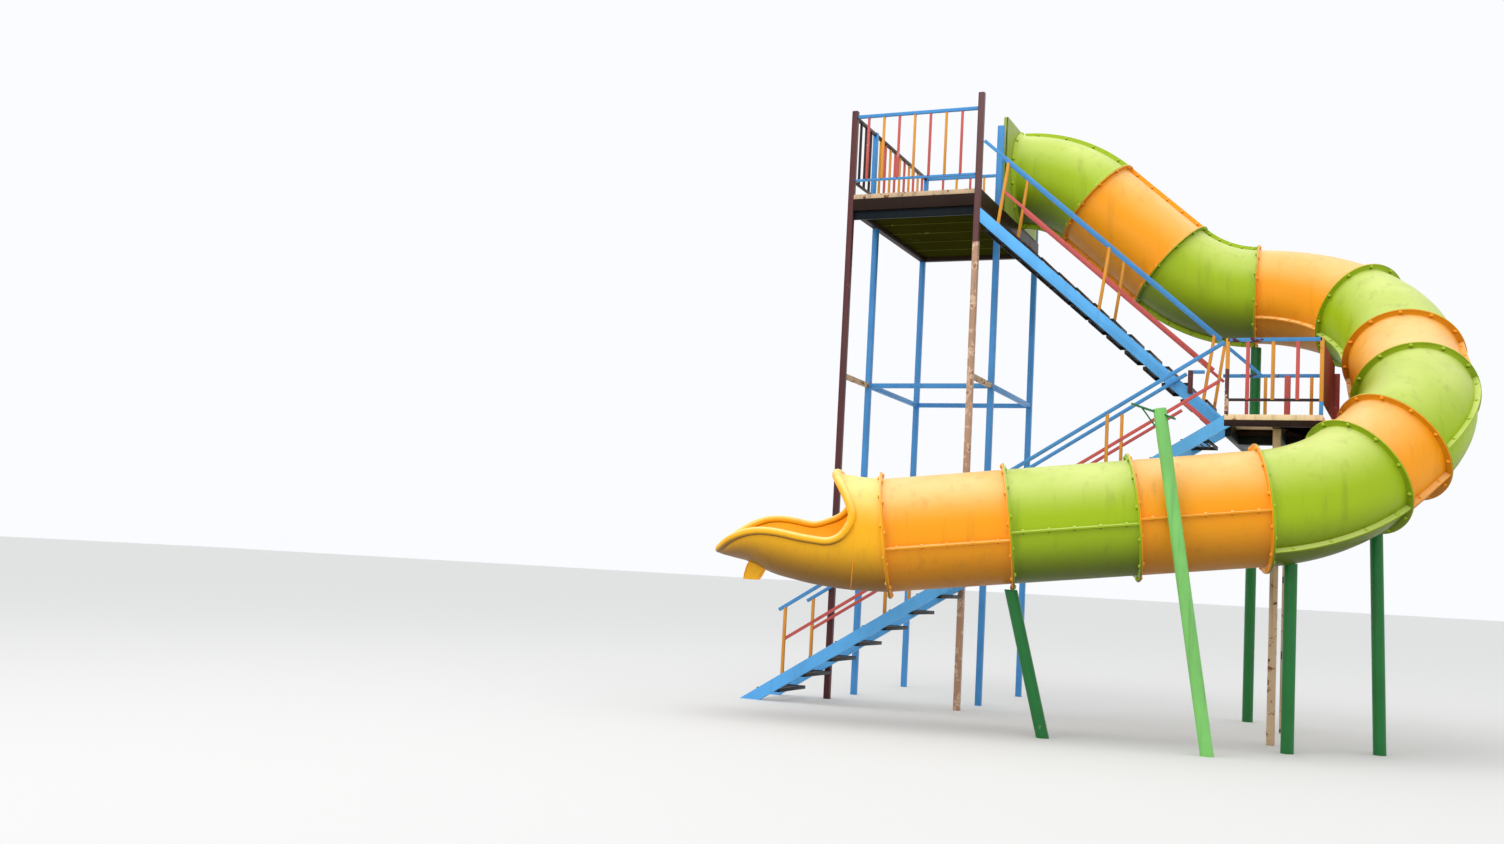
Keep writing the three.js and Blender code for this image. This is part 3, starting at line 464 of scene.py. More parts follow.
def add_rails(bm, start, end, top, low, top_paint, low_paint):
    """A guard's top rail and low rail between two places in plan."""
    middle = top - RAIL_SIDE / 2
    add_bar(bm, place(*start, middle), place(*end, middle), RAIL_SIDE, RAIL_SIDE, THIN_EASE, top_paint)
    add_bar(bm, place(*start, low), place(*end, low), BALUSTER_SIDE, BALUSTER_SIDE, THIN_EASE, low_paint)


def add_balusters(bm, places, *paints):
    for number, (x, y) in enumerate(places):
        paint = paints[number % len(paints)]
        add_upright(bm, x, y, LOW_RAIL, GUARD_TOP - RAIL_SIDE / 2, BALUSTER_SIDE, paint)


for name, y, left, right, first in (("front_guard", 0, POST_FACE, DECK_WIDTH - POST_FACE, FRONT_FIRST),
                                    ("rear_guard", REAR, GUARD_POST / 2, DECK_WIDTH, REAR_FIRST)):
    bm = bmesh.new()
    add_rails(bm, (left, y), (right, y), GUARD_TOP, LOW_RAIL, BLUE_BAR, BLUE_BAR)
    add_balusters(bm, [(x, y) for x in spaced(first, BALUSTER_PITCH, BALUSTERS)], CORAL_BAR, AMBER_BAR)
    if y == REAR:
        add_upright(bm, DECK_WIDTH, REAR, DECK_TOP, POST_HEAD, GUARD_POST, BLUE_BAR)
    finish_piece(name, "bars", bm, "blue_paint", *guard_paints)

bm = bmesh.new()
for y0, y1, count, paints in ((POST_FACE, LEFT_MIDDLE, DARK_BALUSTERS, (DARK_BAR,)),
                              (LEFT_MIDDLE, REAR, LEFT_BALUSTERS, (AMBER_BAR, CORAL_BAR))):
    pitch = (y1 - y0) / (count + 1)
    add_rails(bm, (0, y0), (0, y1), GUARD_TOP, LOW_RAIL, DARK_BAR, DARK_BAR)
    add_balusters(bm, [(0, y) for y in spaced(y0 + pitch, pitch, count)], *paints)
    add_upright(bm, 0, y1, DECK_TOP, POST_HEAD, GUARD_POST, BLUE_BAR)
finish_piece("left_guard", "bars", bm, "blue_paint", *guard_paints)


# Guards of the landing

LANDING_LEFT = 3.521
LANDING_RIGHT = 4.256
LANDING_NEAR = -0.743
LANDING_FAR = 0.824
LANDING_TOP = 2.573
LANDING_LOW_RAIL = LANDING_TOP + 0.117
LANDING_FRAME_TOP = 2.528
LANDING_FRAME_LOW = 2.4777
NARROW = 0.028
WIDE = 0.05
POST_LEFT = LANDING_LEFT + RAIL_SIDE / 2
POST_RIGHT = LANDING_RIGHT - RAIL_SIDE / 2
BLUE_FOOT = 0.105
TWO_TONE_BORDER = LANDING_TOP + 0.365
NEAR_HEIGHT = 0.611
FAR_HEIGHT = 0.541
FAR_RAIL_LEFT = 3.33
OUTER_POST_DROP = 0.08
SHEET_SLANT = 0.022
two_tone = part_stripped("amber over maroon post", AMBER, MAROON, TWO_TONE_BORDER)
landing_paints = [PAINT["patched blue"], *guard_paints[1:], two_tone]
TWO_TONE_BAR = len(guard_paints)


def make_landing_guard(name, y, height, rail_left, rail_right, balusters, posts):
    """balusters and posts hold each one's place, side and paint; posts their foot and head as well."""
    bm = bmesh.new()
    top = LANDING_TOP + height
    middle = top - RAIL_SIDE / 2
    add_rails(bm, (POST_LEFT, y), (rail_right, y), top, LANDING_LOW_RAIL, BLUE_BAR, DARK_BAR)
    if rail_left < POST_LEFT:
        ends = [place(x, y, middle) for x in (rail_left, POST_LEFT)]
        add_bar(bm, *ends, RAIL_SIDE, RAIL_SIDE, THIN_EASE)
    for x, side, paint in balusters:
        add_upright(bm, x, y, LANDING_LOW_RAIL, middle, side, paint)
    for x, side, paint, low, high in posts:
        add_upright(bm, x, y, LANDING_TOP + low, LANDING_TOP + high, side, paint)
    finish_piece(name, "bars", bm, "blue_paint", *landing_paints)


make_landing_guard(
    "landing_near_guard", LANDING_NEAR + RAIL_SIDE / 2, NEAR_HEIGHT, POST_LEFT, POST_RIGHT,
    ((3.690, NARROW, CORAL_BAR), (3.880, NARROW, AMBER_BAR), (4.064, NARROW, CORAL_BAR)),
    ((POST_LEFT, RAIL_SIDE, TWO_TONE_BAR, 0, NEAR_HEIGHT), (POST_RIGHT, RAIL_SIDE, BLUE_BAR, 0, BLUE_FOOT),
     (POST_RIGHT, RAIL_SIDE, AMBER_BAR, BLUE_FOOT, NEAR_HEIGHT)))
make_landing_guard(
    "landing_far_guard", LANDING_FAR - RAIL_SIDE / 2, FAR_HEIGHT, FAR_RAIL_LEFT, LANDING_RIGHT,
    ((3.692, NARROW, AMBER_BAR), (3.877, WIDE, CORAL_BAR), (4.076, NARROW, AMBER_BAR)),
    ((POST_LEFT, RAIL_SIDE, CORAL_BAR, 0, FAR_HEIGHT),
     (LANDING_RIGHT + WIDE / 2, WIDE, CORAL_BAR, -OUTER_POST_DROP, FAR_HEIGHT)))

# The sheet on the landing's right, its far edge pushed outwards
sheet_low, sheet_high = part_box("landing_side_sheet")
bm = merged_copy("landing_side_sheet")
for vert in bm.verts:
    if vert.co.y > (sheet_low.y + sheet_high.y) / 2:
        vert.co.x += SHEET_SLANT
ease_edges(bm, STEEL_EASE / 2)
finish_piece("landing_side_sheet", "steel", bm, "maroon_paint", PAINT["matt maroon"])


# Handrails of the flights: blue top rail, coral middle rail, amber posts

UPPER_SLOPE = 0.877
UPPER_START = Vector((1.2558, 0, 4.5386))
UPPER_NEAR = 0.0
UPPER_FAR = 0.735
LOWER_SLOPE = 0.631
LOWER_START = Vector((3.5207, 0, 2.567))
LOWER_NEAR = -0.723
LOWER_FAR = -0.062
HANDRAIL_POST = 0.026
MIDDLE_RAIL = 0.022
FOOT_DEPTH = 0.02
UPPER_POSTS = (1.506, 2.439, 3.345)
UPPER_LEAN = 0.082
LOWER_POSTS = (2.6, 1.68, 0.76, -0.16)
FAR_RAIL_SHIFT = 0.006

# The top rail's height over the stringer's edge and where it ends, and the same of the middle rail
HANDRAILS = {
    "upper_near_handrail": (0.640, (1.272, 3.400), 0.33, (1.466, 3.345)),
    "upper_far_handrail": (0.665, (1.272, 3.655), 0.33, (1.466, 3.345)),
    "lower_near_handrail": (0.594, (3.507, -0.22), 0.302, (3.477, -0.16)),
    "lower_far_handrail": (0.674, (3.130, -0.22), 0.382, (3.100, -0.16)),
}


def upper_edge(x):
    return UPPER_START.z - UPPER_SLOPE * (x - UPPER_START.x)


def lower_edge(x):
    return LOWER_START.z - LOWER_SLOPE * (LOWER_START.x - x)


def make_handrail(name, y, edge, posts, lean):
    """lean is how far the posts' feet stand back."""
    top, top_ends, middle, middle_ends = HANDRAILS[name]
    bm = bmesh.new()
    ends = [place(x, y, edge(x) + top) for x in top_ends]
    add_bar(bm, *ends, RAIL_SIDE, RAIL_SIDE, THIN_EASE * 2, BLUE_BAR)
    ends = [place(x, y, edge(x) + middle) for x in middle_ends]
    add_bar(bm, *ends, MIDDLE_RAIL, HANDRAIL_POST, THIN_EASE, CORAL_BAR)
    for x in posts:
        foot = place(x - lean, y, edge(x - lean) - FOOT_DEPTH)
        add_bar(bm, foot, place(x, y, edge(x) + top), HANDRAIL_POST, HANDRAIL_POST, THIN_EASE, AMBER_BAR)
    finish_piece(name, "bars", bm, "blue_paint", *guard_paints)


make_handrail("upper_near_handrail", UPPER_NEAR, upper_edge, UPPER_POSTS, UPPER_LEAN)
make_handrail("upper_far_handrail", UPPER_FAR, upper_edge, UPPER_POSTS, UPPER_LEAN)
make_handrail("lower_near_handrail", LOWER_NEAR, lower_edge, LOWER_POSTS, 0)
make_handrail("lower_far_handrail", LOWER_FAR + FAR_RAIL_SHIFT, lower_edge, LOWER_POSTS, 0)


# Stair flights: hollow-section stringers with open treads of angle steel and rods

STRINGER_DEPTH = 0.1
SHALLOW_DEPTH = 0.055
STRINGER_WIDTH = 0.04
TREAD_GOING = 0.22
TREAD_BACK = 0.56
TREAD_DROP = 0.36
TREAD_EASE = THIN_EASE / 3
UPPER_TREADS = 13
LOWER_TREADS = 16
ANGLE = 0.03
ANGLE_WALL = 0.004
ROD = 0.012
RODS = 3
STRIP_ENDS = (3.10, 3.40)
STRIP_THICKNESS = 0.04
STRINGER_CORNERS = 8
flight_paints = [PAINT["stair blue"], PAINT["black"], PAINT["coral"]]
TREAD_PAINT, STRIP_PAINT = range(1, len(flight_paints))


def cut_at(bm, height, way):
    """Cuts away what is above a height, or below it where way is -1, and gives the cut's edges."""
    geometry = bm.verts[:] + bm.edges[:] + bm.faces[:]
    cut = bmesh.ops.bisect_plane(bm, geom=geometry, plane_co=(0, 0, height), plane_no=(0, 0, way),
                                 clear_outer=True)["geom_cut"]
    return [item for item in cut if isinstance(item, bmesh.types.BMEdge)]


def add_stringer(bm, start, run, slope, way, y, depth, foot):
    """A stringer that is cut off level at its foot. The lower flight's head runs to a point under
    the landing's frame."""
    drop = depth * math.hypot(1, slope)
    low = start.z - slope * run
    corners = [(0, start.z), (run, low), (run, low - drop)]
    if way < 0:
        under_frame = (LANDING_FRAME_LOW - start.z + drop) / slope
        corners += [(-under_frame, LANDING_FRAME_LOW), (0, LANDING_FRAME_LOW)]
    else:
        corners += [(0, start.z - drop)]
    verts = [bm.verts.new(place(start.x + way * x, y - STRINGER_WIDTH / 2, z)) for x, z in corners]
    face = bm.faces.new(verts)
    face.normal_update()
    if face.normal.y > 0:
        face.normal_flip()
    bmesh.ops.solidify(bm, geom=[face], thickness=STRINGER_WIDTH)
    cut_at(bm, foot, -1)


def add_tread(bm, x, z, near, far, way):
    """An open frame of angle steel with rods across it."""
    back = x - way * TREAD_GOING * TREAD_BACK
    front = x + way * TREAD_GOING * (1 - TREAD_BACK)
    y0 = near + STRINGER_WIDTH / 2
    y1 = far - STRINGER_WIDTH / 2
    middle = z - ANGLE / 2

    def add_cross_bar(at, height, width, depth, ease):
        add_bar(bm, place(at, y0, height), place(at, y1, height), width, depth, ease, TREAD_PAINT)

    for end, inside in ((back, way), (front, -way)):
        add_cross_bar(end + inside * ANGLE / 2, z - ANGLE_WALL / 2, ANGLE, ANGLE_WALL, TREAD_EASE)
        add_cross_bar(end + inside * ANGLE_WALL / 2, middle, ANGLE_WALL, ANGLE, TREAD_EASE)
    for y in (y0 + ANGLE_WALL / 2, y1 - ANGLE_WALL / 2):
        ends = [place(end, y, middle) for end in (back, front)]
        add_bar(bm, *ends, ANGLE_WALL, ANGLE, TREAD_EASE, TREAD_PAINT)
    for number in range(1, RODS + 1):
        add_cross_bar(back + (front - back) * number / (RODS + 1), z - ROD / 2, ROD, ROD, ROD / 3)


def make_flight(name, start, run, slope, way, near, far, far_depth, treads, foot):
    bm = bmesh.new()
    for y, depth in ((near, STRINGER_DEPTH), (far, far_depth)):
        add_stringer(bm, start, run, slope, way, y, depth, foot)
    bmesh.ops.holes_fill(bm, edges=bm.edges[:], sides=STRINGER_CORNERS)
    bmesh.ops.recalc_face_normals(bm, faces=bm.faces)
    ease_edges(bm, STEEL_EASE)
    drop = STRINGER_DEPTH * math.hypot(1, slope)
    step = run / (treads + 1)
    for number in range(1, treads + 1):
        z = start.z - slope * step * number - drop * TREAD_DROP
        add_tread(bm, start.x + way * step * number, z, near, far, way)
    if way > 0:
        strip = [place(x, near, upper_edge(x) - drop - STRIP_THICKNESS / 2) for x in STRIP_ENDS]
        add_bar(bm, *strip, STRINGER_WIDTH, STRIP_THICKNESS, THIN_EASE, STRIP_PAINT)
    finish_piece(name, "steps", bm, "blue_paint", *flight_paints)


make_flight("upper_flight", UPPER_START, LOWER_START.x - UPPER_START.x, UPPER_SLOPE, 1, UPPER_NEAR,
            UPPER_FAR, STRINGER_DEPTH, UPPER_TREADS, LANDING_FRAME_TOP)
make_flight("lower_flight", LOWER_START, LOWER_START.z / LOWER_SLOPE, LOWER_SLOPE, -1, LOWER_NEAR,
            LOWER_FAR, SHALLOW_DEPTH, LOWER_TREADS, 0)


# The tube slide. Each section is a straight or round run with an end flange at both ends and a
# bolted seam on two sides.

TUBE_START = (DECK_WIDTH + 0.032, 1.513, 5.188)
TUBE_RADIUS = 0.44
TUBE_WALL = 0.008
TUBE_SIDES = 72
STATION_PITCH = 0.035
STRAIGHT_BELOW = math.radians(3)
SLIGHT_BELOW = math.radians(10)
FLANGE_RADIUS = 0.492
FLANGE_THICKNESS = 0.009
FLANGE_EASE = 0.0025
ROOT_RADIUS = 0.007
ROOT_HOLLOW = 0.3 * ROOT_RADIUS
HALF_GAP = 0.0003
FLARE_REACH = 0.035
FLARE_LENGTH = 0.045
FLARE_START = 0.004
FLARE_STATIONS = 8
SEAM_REACH = 0.484
SEAM_PLATE = 0.008
SEAM_GAP = 0.0005
SEAM_EASE = 0.002
SEAM_BOLT_PITCH = 0.19
SEAM_BOLT_CIRCLE = 0.461
SEAM_CAP_RADIUS = 0.0152
RING_BOLTS = 12
BOLT_CIRCLE = 0.467
CAP_RADIUS = 0.019
CAP_HEIGHT = 0.8
CAP_SIDES = 8
CAP_RINGS = 6

# Each section's length, its turn to the left and its fall in degrees, its seam's roll and its gel coat
TUBE_SECTIONS = [
    (0.827, 2.1, 41.3, 0, "green"),
    (0.960, 0, 0, 0, "yellow"),
    (0.870, 1.1, -40.2, 0, "green"),
    (1.021, -44.3, 25.3, 0, "yellow"),
    (0.928, -41.9, 11, 0, "green"),
    (0.714, 3.6, -7.1, 0, "yellow"),
    (0.772, -52.9, 7.7, 0, "green"),
    (0.447, -0.7, -5.4, 0, "yellow"),
    (0.831, -31.5, -25.6, 0, "green"),
    (0.940, 0, 0, 86, "yellow"),
    (0.940, 0, 0, 82, "green"),
    (0.940, 0, 0, 75, "yellow"),
]


def heading_vector(turn, fall):
    return Vector((math.cos(turn) * math.cos(fall), math.sin(turn) * math.cos(fall), -math.sin(fall)))


def inside_of(start, end):
    """The inside of a bend, square to the heading it starts in."""
    return (end - start * end.dot(start)).normalized()


def make_run(start, tangent, side, angle, length, seam_turn):
    """The matrices along a run: X to the seam, which is turned from the inside of the bend by the
    given angle, and Z along the run."""
    spin = Matrix.Rotation(seam_turn, 4, "Z")

    def matrix_at(distance):
        if angle == 0:
            here = start + tangent * distance
            along, inward = tangent, side
        else:
            radius = length / angle
            swept = angle * distance / length
            here = start + tangent * radius * math.sin(swept) + side * radius * (1 - math.cos(swept))
            along = tangent * math.cos(swept) + side * math.sin(swept)
            inward = side * math.cos(swept) - tangent * math.sin(swept)
        turn = Matrix((inward, along.cross(inward), along)).transposed().to_4x4()
        return Matrix.Translation(here) @ turn @ spin
    return matrix_at


def lay_runs():
    """The runs of all sections, laid end to end, and the place and heading at the last one's end. A
    section with a slight bend has the seam line of the one after it."""
    turn = fall = 0.0
    headings = [heading_vector(turn, fall)]
    for length, more_turn, more_fall, roll, gel in TUBE_SECTIONS:
        turn += math.radians(more_turn)
        fall += math.radians(more_fall)
        headings.append(heading_vector(turn, fall))
    here = place(*TUBE_START)
    runs = []
    for number, (length, more_turn, more_fall, roll, gel) in enumerate(TUBE_SECTIONS):
        start, end = headings[number:number + 2]
        angle = start.angle(end)
        seam_turn = 0
        if angle < STRAIGHT_BELOW:
            side = inside_of(start, Vector((0, 0, 1)))
            side.rotate(Matrix.Rotation(math.radians(roll), 3, start))
            angle = 0
        else:
            side = inside_of(start, end)
            if angle < SLIGHT_BELOW:
                at_end = -inside_of(end, start)
                seam = inside_of(end, headings[number + 2])
                seam_turn = math.atan2(at_end.cross(seam).dot(end), at_end.dot(seam))
        matrix_at = make_run(here, start, side, angle, length, seam_turn)
        runs.append((matrix_at, length, gel))
        here = matrix_at(length).to_translation()
    return runs, here, turn, fall


def sweep(bm, first_ring, matrices):
    """Draws a ring of edges out through the given matrices, the first of which places the ring itself."""
    ring = first_ring
    for before, after in zip(matrices, matrices[1:]):
        drawn = bmesh.ops.extrude_edge_only(bm, edges=ring)["geom"]
        verts = {item for item in drawn if isinstance(item, bmesh.types.BMVert)}
        ring = [item for item in drawn if isinstance(item, bmesh.types.BMEdge) and set(item.verts) <= verts]
        bmesh.ops.transform(bm, matrix=after @ before.inverted(), verts=list(verts))
    return ring


def section_head(inner):
    """(distance along, radius) from the bore round the end flange to the foot of its root fillet."""
    return [
        (HALF_GAP, inner), (HALF_GAP, FLANGE_RADIUS - FLANGE_EASE), (HALF_GAP + FLANGE_EASE, FLANGE_RADIUS),
        (FLANGE_THICKNESS - FLANGE_EASE, FLANGE_RADIUS), (FLANGE_THICKNESS, FLANGE_RADIUS - FLANGE_EASE),
        (FLANGE_THICKNESS, TUBE_RADIUS + ROOT_RADIUS),
        (FLANGE_THICKNESS + ROOT_HOLLOW, TUBE_RADIUS + ROOT_HOLLOW),
        (FLANGE_THICKNESS + ROOT_RADIUS, TUBE_RADIUS),
    ]


def flared_head(inner):
    """The head of the first section, which opens out against the panel in place of a flange."""
    flare = [(HALF_GAP + FLARE_START + FLARE_LENGTH * share,
              TUBE_RADIUS + FLARE_REACH * (1 - math.sin(share * math.pi / 2)))
             for share in shares(FLARE_STATIONS)]
    return [(HALF_GAP, inner), (HALF_GAP, TUBE_RADIUS + FLARE_REACH)] + flare


def stations(first, last, length):
    """Distances from the first to the last, as close as a section of the given length needs."""
    count = max(2, round(length / STATION_PITCH))
    return [first + (last - first) * share for share in shares(count)]


def section_profile(length, head):
    """(distance along, radius) round a section's wall: outside first, then back inside."""
    inner = head[0][1]
    tail = [(length - distance, radius) for distance, radius in reversed(section_head(inner))]
    steps = stations(head[-1][0], tail[0][0], length)[1:-1]
    outside = [(step, TUBE_RADIUS) for step in steps]
    inside = [(step, inner) for step in reversed(steps)]
    return head + outside + tail + inside + [(HALF_GAP, inner)]


def add_wall(bm, matrix_at, length, head):
    matrices = [matrix_at(distance) @ Matrix.Diagonal((radius, radius, 1, 1))
                for distance, radius in section_profile(length, head)]
    verts = bmesh.ops.create_circle(bm, segments=TUBE_SIDES, radius=1, matrix=matrices[0])["verts"]
    sweep(bm, linked_to(verts, "link_edges"), matrices)
    bmesh.ops.remove_doubles(bm, verts=bm.verts, dist=WELD)


def add_seam(bm, matrix_at, length, way):
    """Two plates face to face along the wall, at the inside of the bend or opposite it."""
    matrices = [matrix_at(step) for step in stations(FLANGE_THICKNESS, length - FLANGE_THICKNESS, length)]
    inner = way * (TUBE_RADIUS - TUBE_WALL / 2)
    outer = way * SEAM_REACH
    for face_side in (-1, 1):
        low = face_side * SEAM_GAP
        high = face_side * SEAM_PLATE
        corners = [(inner, low), (outer, low), (outer, high - face_side * SEAM_EASE),
                   (outer - way * SEAM_EASE, high), (inner, high)]
        verts = [bm.verts.new(matrices[0] @ Vector((x, y, 0))) for x, y in corners]
        edges = [bm.edges.new((verts[index - 1], verts[index])) for index in range(len(verts))]
        last = sweep(bm, edges, matrices)
        for ring in (edges, last):
            bmesh.ops.holes_fill(bm, edges=ring, sides=len(corners))


def add_cap(bm, here, outward, radius):
    """A domed bolt cap on a face."""
    turn = outward.to_track_quat("Z", "Y").to_matrix().to_4x4()
    flatten = Matrix.Diagonal((1, 1, CAP_HEIGHT, 1))
    bmesh.ops.create_uvsphere(bm, u_segments=CAP_SIDES, v_segments=CAP_RINGS, radius=radius,
                              matrix=Matrix.Translation(here) @ turn @ flatten)


def bolt_ring():
    """The places of a flange's bolts on its face."""
    turns = [2 * math.pi * (number + 0.5) / RING_BOLTS for number in range(RING_BOLTS)]
    return [(BOLT_CIRCLE * math.cos(turn), BOLT_CIRCLE * math.sin(turn)) for turn in turns]


def add_section_bolts(bm, matrix_at, length):
    for distance, way in ((FLANGE_THICKNESS, 1), (length - FLANGE_THICKNESS, -1)):
        matrix = matrix_at(distance)
        for x, y in bolt_ring():
            add_cap(bm, matrix @ Vector((x, y, 0)), matrix.to_3x3() @ Vector((0, 0, way)), CAP_RADIUS)
    count = max(2, round(length / SEAM_BOLT_PITCH))
    for number in range(count):
        matrix = matrix_at(length * (number + 0.5) / count)
        for way in (-1, 1):
            for face_side in (-1, 1):
                here = matrix @ Vector((way * SEAM_BOLT_CIRCLE, face_side * SEAM_PLATE, 0))
                add_cap(bm, here, matrix.to_3x3() @ Vector((0, face_side, 0)), SEAM_CAP_RADIUS)


def make_section(number, matrix_at, length, gel):
    bm = bmesh.new()
    head = flared_head if number == 1 else section_head
    add_wall(bm, matrix_at, length, head(TUBE_RADIUS - TUBE_WALL))
    add_seam(bm, matrix_at, length, 1)
    add_seam(bm, matrix_at, length, -1)
    bmesh.ops.recalc_face_normals(bm, faces=bm.faces)
    add_section_bolts(bm, matrix_at, length)
    finish_piece(f"tube_{number}", "shell", bm, f"tube_{gel}", GEL[gel])


tube_runs, chute_start, last_turn, last_fall = lay_runs()
for index, run in enumerate(tube_runs):
    make_section(index + 1, *run)


# The open chute at the end: a collar whose edge runs down into the rims of a trough

CHUTE_LENGTH = 1.308
CHUTE_WALL = 0.01
CHUTE_TILT = math.radians(8)
COLLAR_NEAR = 0.215
COLLAR_FAR = 0.315
COLLAR_TOP = 0.4
COLLAR_STEEPNESS = 2.7
COLLAR_SWELL = 0.07
COLLAR_STATIONS = 10
FAR_RISE = 0.115
FAR_RISE_END = 0.65
BOW_START = 0.85
STRAIGHT_SHARE = 0.5
TROUGH_STATIONS = 40
TROUGH_SIDES = 36
FACES_INWARD = -0.3
BEAD = 0.0315
HOOD_BEAD = 0.037
BEAD_OUT = 0.012
HOOD_OUT = -0.006
HOOD_START = math.radians(20)
HOOD_STATIONS = 48
RIM_START = 0.05
BEAD_SMOOTHING = 2
BEAD_SIDES = 14
FOOT_ALONG = 1.0
FOOT_LENGTH = 0.128
FOOT_WIDTH = 0.13
FOOT_LEAN = 0.045
FOOT_TAPER = 0.12
FOOT_LOW = 1.062
FOOT_EASE = 0.008
FOOT_CUTS = 3

# Heights of the trough's floor and of its near rim over the tube's middle, at distances along it
FLOOR_HEIGHTS = [(0, -0.438), (0.27, -0.438), (0.525, -0.412), (0.73, -0.374), (0.88, -0.336),
                 (1.035, -0.265), (1.19, -0.23), (1.308, -0.208)]
RIM_HEIGHTS = [(0, 0.155), (0.2, 0.1), (0.3, 0.03), (0.35, 0.0), (0.4, -0.02), (0.45, -0.022),
               (0.5, -0.015), (0.6, -0.005), (0.7, 0.012), (0.8, 0.029), (0.9, 0.036), (1.0, 0.026),
               (1.1, -0.01), (1.2, -0.07), (1.308, -0.172)]
chute_level = Vector((math.cos(last_turn), math.sin(last_turn), 0))
chute_across = Vector((-chute_level.y, chute_level.x, 0))


def smooth_height(points, x):
    """A smooth curve through the points, read at x."""
    x = min(max(x, points[0][0]), points[-1][0])
    number = max(1, next(index for index, item in enumerate(points) if item[0] >= x))
    (x0, y0), (x1, y1) = points[number - 1], points[number]
    before = points[max(number - 2, 0)]
    after = points[min(number + 1, len(points) - 1)]
    slope0 = (y1 - before[1]) / (x1 - before[0])
    slope1 = (after[1] - y0) / (after[0] - x0)
    width = x1 - x0
    share = (x - x0) / width
    square = share * share
    cube = square * share
    return ((2 * cube - 3 * square + 1) * y0 + (cube - 2 * square + share) * width * slope0
            + (3 * square - 2 * cube) * y1 + (cube - square) * width * slope1)


def leaned_height(sideways, height):
    return height * math.cos(CHUTE_TILT) - sideways * math.sin(CHUTE_TILT)


def chute_point(along, sideways, height):
    """A place in the chute, which leans to one side: sideways is to the left of the heading."""
    aside = sideways * math.cos(CHUTE_TILT) + height * math.sin(CHUTE_TILT)
    above = leaned_height(sideways, height)
    return chute_start + chute_level * along + chute_across * aside + Vector((0, 0, above))


def lofted(bm, lengthwise, around, place_at):
    """A closed skin over a grid: place_at takes shares of 0 to 1 along it and round it."""
    verts = bmesh.ops.create_grid(bm, x_segments=lengthwise, y_segments=around, size=1)["verts"]
    for vert in verts:
        vert.co = place_at((vert.co.x + 1) / 2, (vert.co.y + 1) / 2)
    bmesh.ops.remove_doubles(bm, verts=verts, dist=WELD)


def reach_at(side):
    """How far the collar reaches on its two sides, from -1 on the far side to 1 on the near side."""
    return COLLAR_FAR + (COLLAR_NEAR - COLLAR_FAR) * (side + 1) / 2


def collar_edge(angle):
    """How far the collar reaches and how wide it is, at an angle up from its near side."""
    up = max(0, math.sin(angle))
    reach = reach_at(math.cos(angle))
    return reach + (COLLAR_TOP - reach) * up ** COLLAR_STEEPNESS, TUBE_RADIUS * (1 + COLLAR_SWELL * up)


def make_collar(bm):
    """The collar from its flange, which is square to the falling tube, to its slanting edge."""
    inner = TUBE_RADIUS - CHUTE_WALL
    head = section_head(inner)
    root = head[-1][0]
    steps = shares(COLLAR_STATIONS)[1:]
    skin = [(distance, radius, 0) for distance, radius in head]
    skin += [(root, TUBE_RADIUS, step) for step in steps]
    skin += [(root, inner, step) for step in reversed(steps)]
    skin += [(HALF_GAP, inner, 0)]

    def place_at(lengthwise, around):
        start, radius, step = skin[round(lengthwise * (len(skin) - 1))]
        angle = 2 * math.pi * around
        reach, width = collar_edge(angle)
        radius += (width - TUBE_RADIUS) * step * step
        along = start + (reach - start) * step
        sideways = radius * math.cos(angle)
        height = radius * math.sin(angle)
        lean = (1 - along / reach) * leaned_height(sideways, height) * math.tan(last_fall)
        return chute_point(along + lean, sideways, height)
    lofted(bm, len(skin) - 1, TUBE_SIDES, place_at)


def trough_station(share, side):
    """The distance along and half width at a share of the trough's length, which starts at the
    collar: straight, then round."""
    start = reach_at(math.sin(side * math.pi / 2))
    straight = min(share / STRAIGHT_SHARE, 1)
    bow = max(0, (share - STRAIGHT_SHARE) / (1 - STRAIGHT_SHARE)) * math.pi / 2
    along = start + (BOW_START - start) * straight + (CHUTE_LENGTH - BOW_START) * math.sin(bow)
    return along, TUBE_RADIUS * math.cos(bow)


def trough_section(share, side, inset):
    """A place on the trough's cross-section: side runs from -1 at the far rim over the floor to 1."""
    along, half_width = trough_station(share, side)
    low = smooth_height(FLOOR_HEIGHTS, along)
    past = min(max((along - COLLAR_FAR) / (FAR_RISE_END - COLLAR_FAR), 0), 1)
    far_rise = FAR_RISE * (1 - math.sin(side * math.pi / 2)) / 2 * (1 - past * past * (3 - 2 * past))
    high = smooth_height(RIM_HEIGHTS, along) + far_rise
    centre = min(high, low + TUBE_RADIUS)
    over = math.asin(min(1, (high - centre) / TUBE_RADIUS))
    angle = abs(side) * (math.pi / 2 + over) - math.pi / 2
    width = max(half_width - inset, 0)
    depth = max(centre - low - inset, 0)
    return chute_point(along, math.copysign(width * math.cos(angle), side), centre + depth * math.sin(angle))


def make_trough(bm):
    """The trough's outer skin from rim to rim, and its inner skin back."""
    def place_at(lengthwise, around):
        if around <= 0.5:
            return trough_section(lengthwise, 4 * around - 1, 0)
        return trough_section(lengthwise, 3 - 4 * around, CHUTE_WALL)
    lofted(bm, TROUGH_STATIONS, 2 * TROUGH_SIDES, place_at)


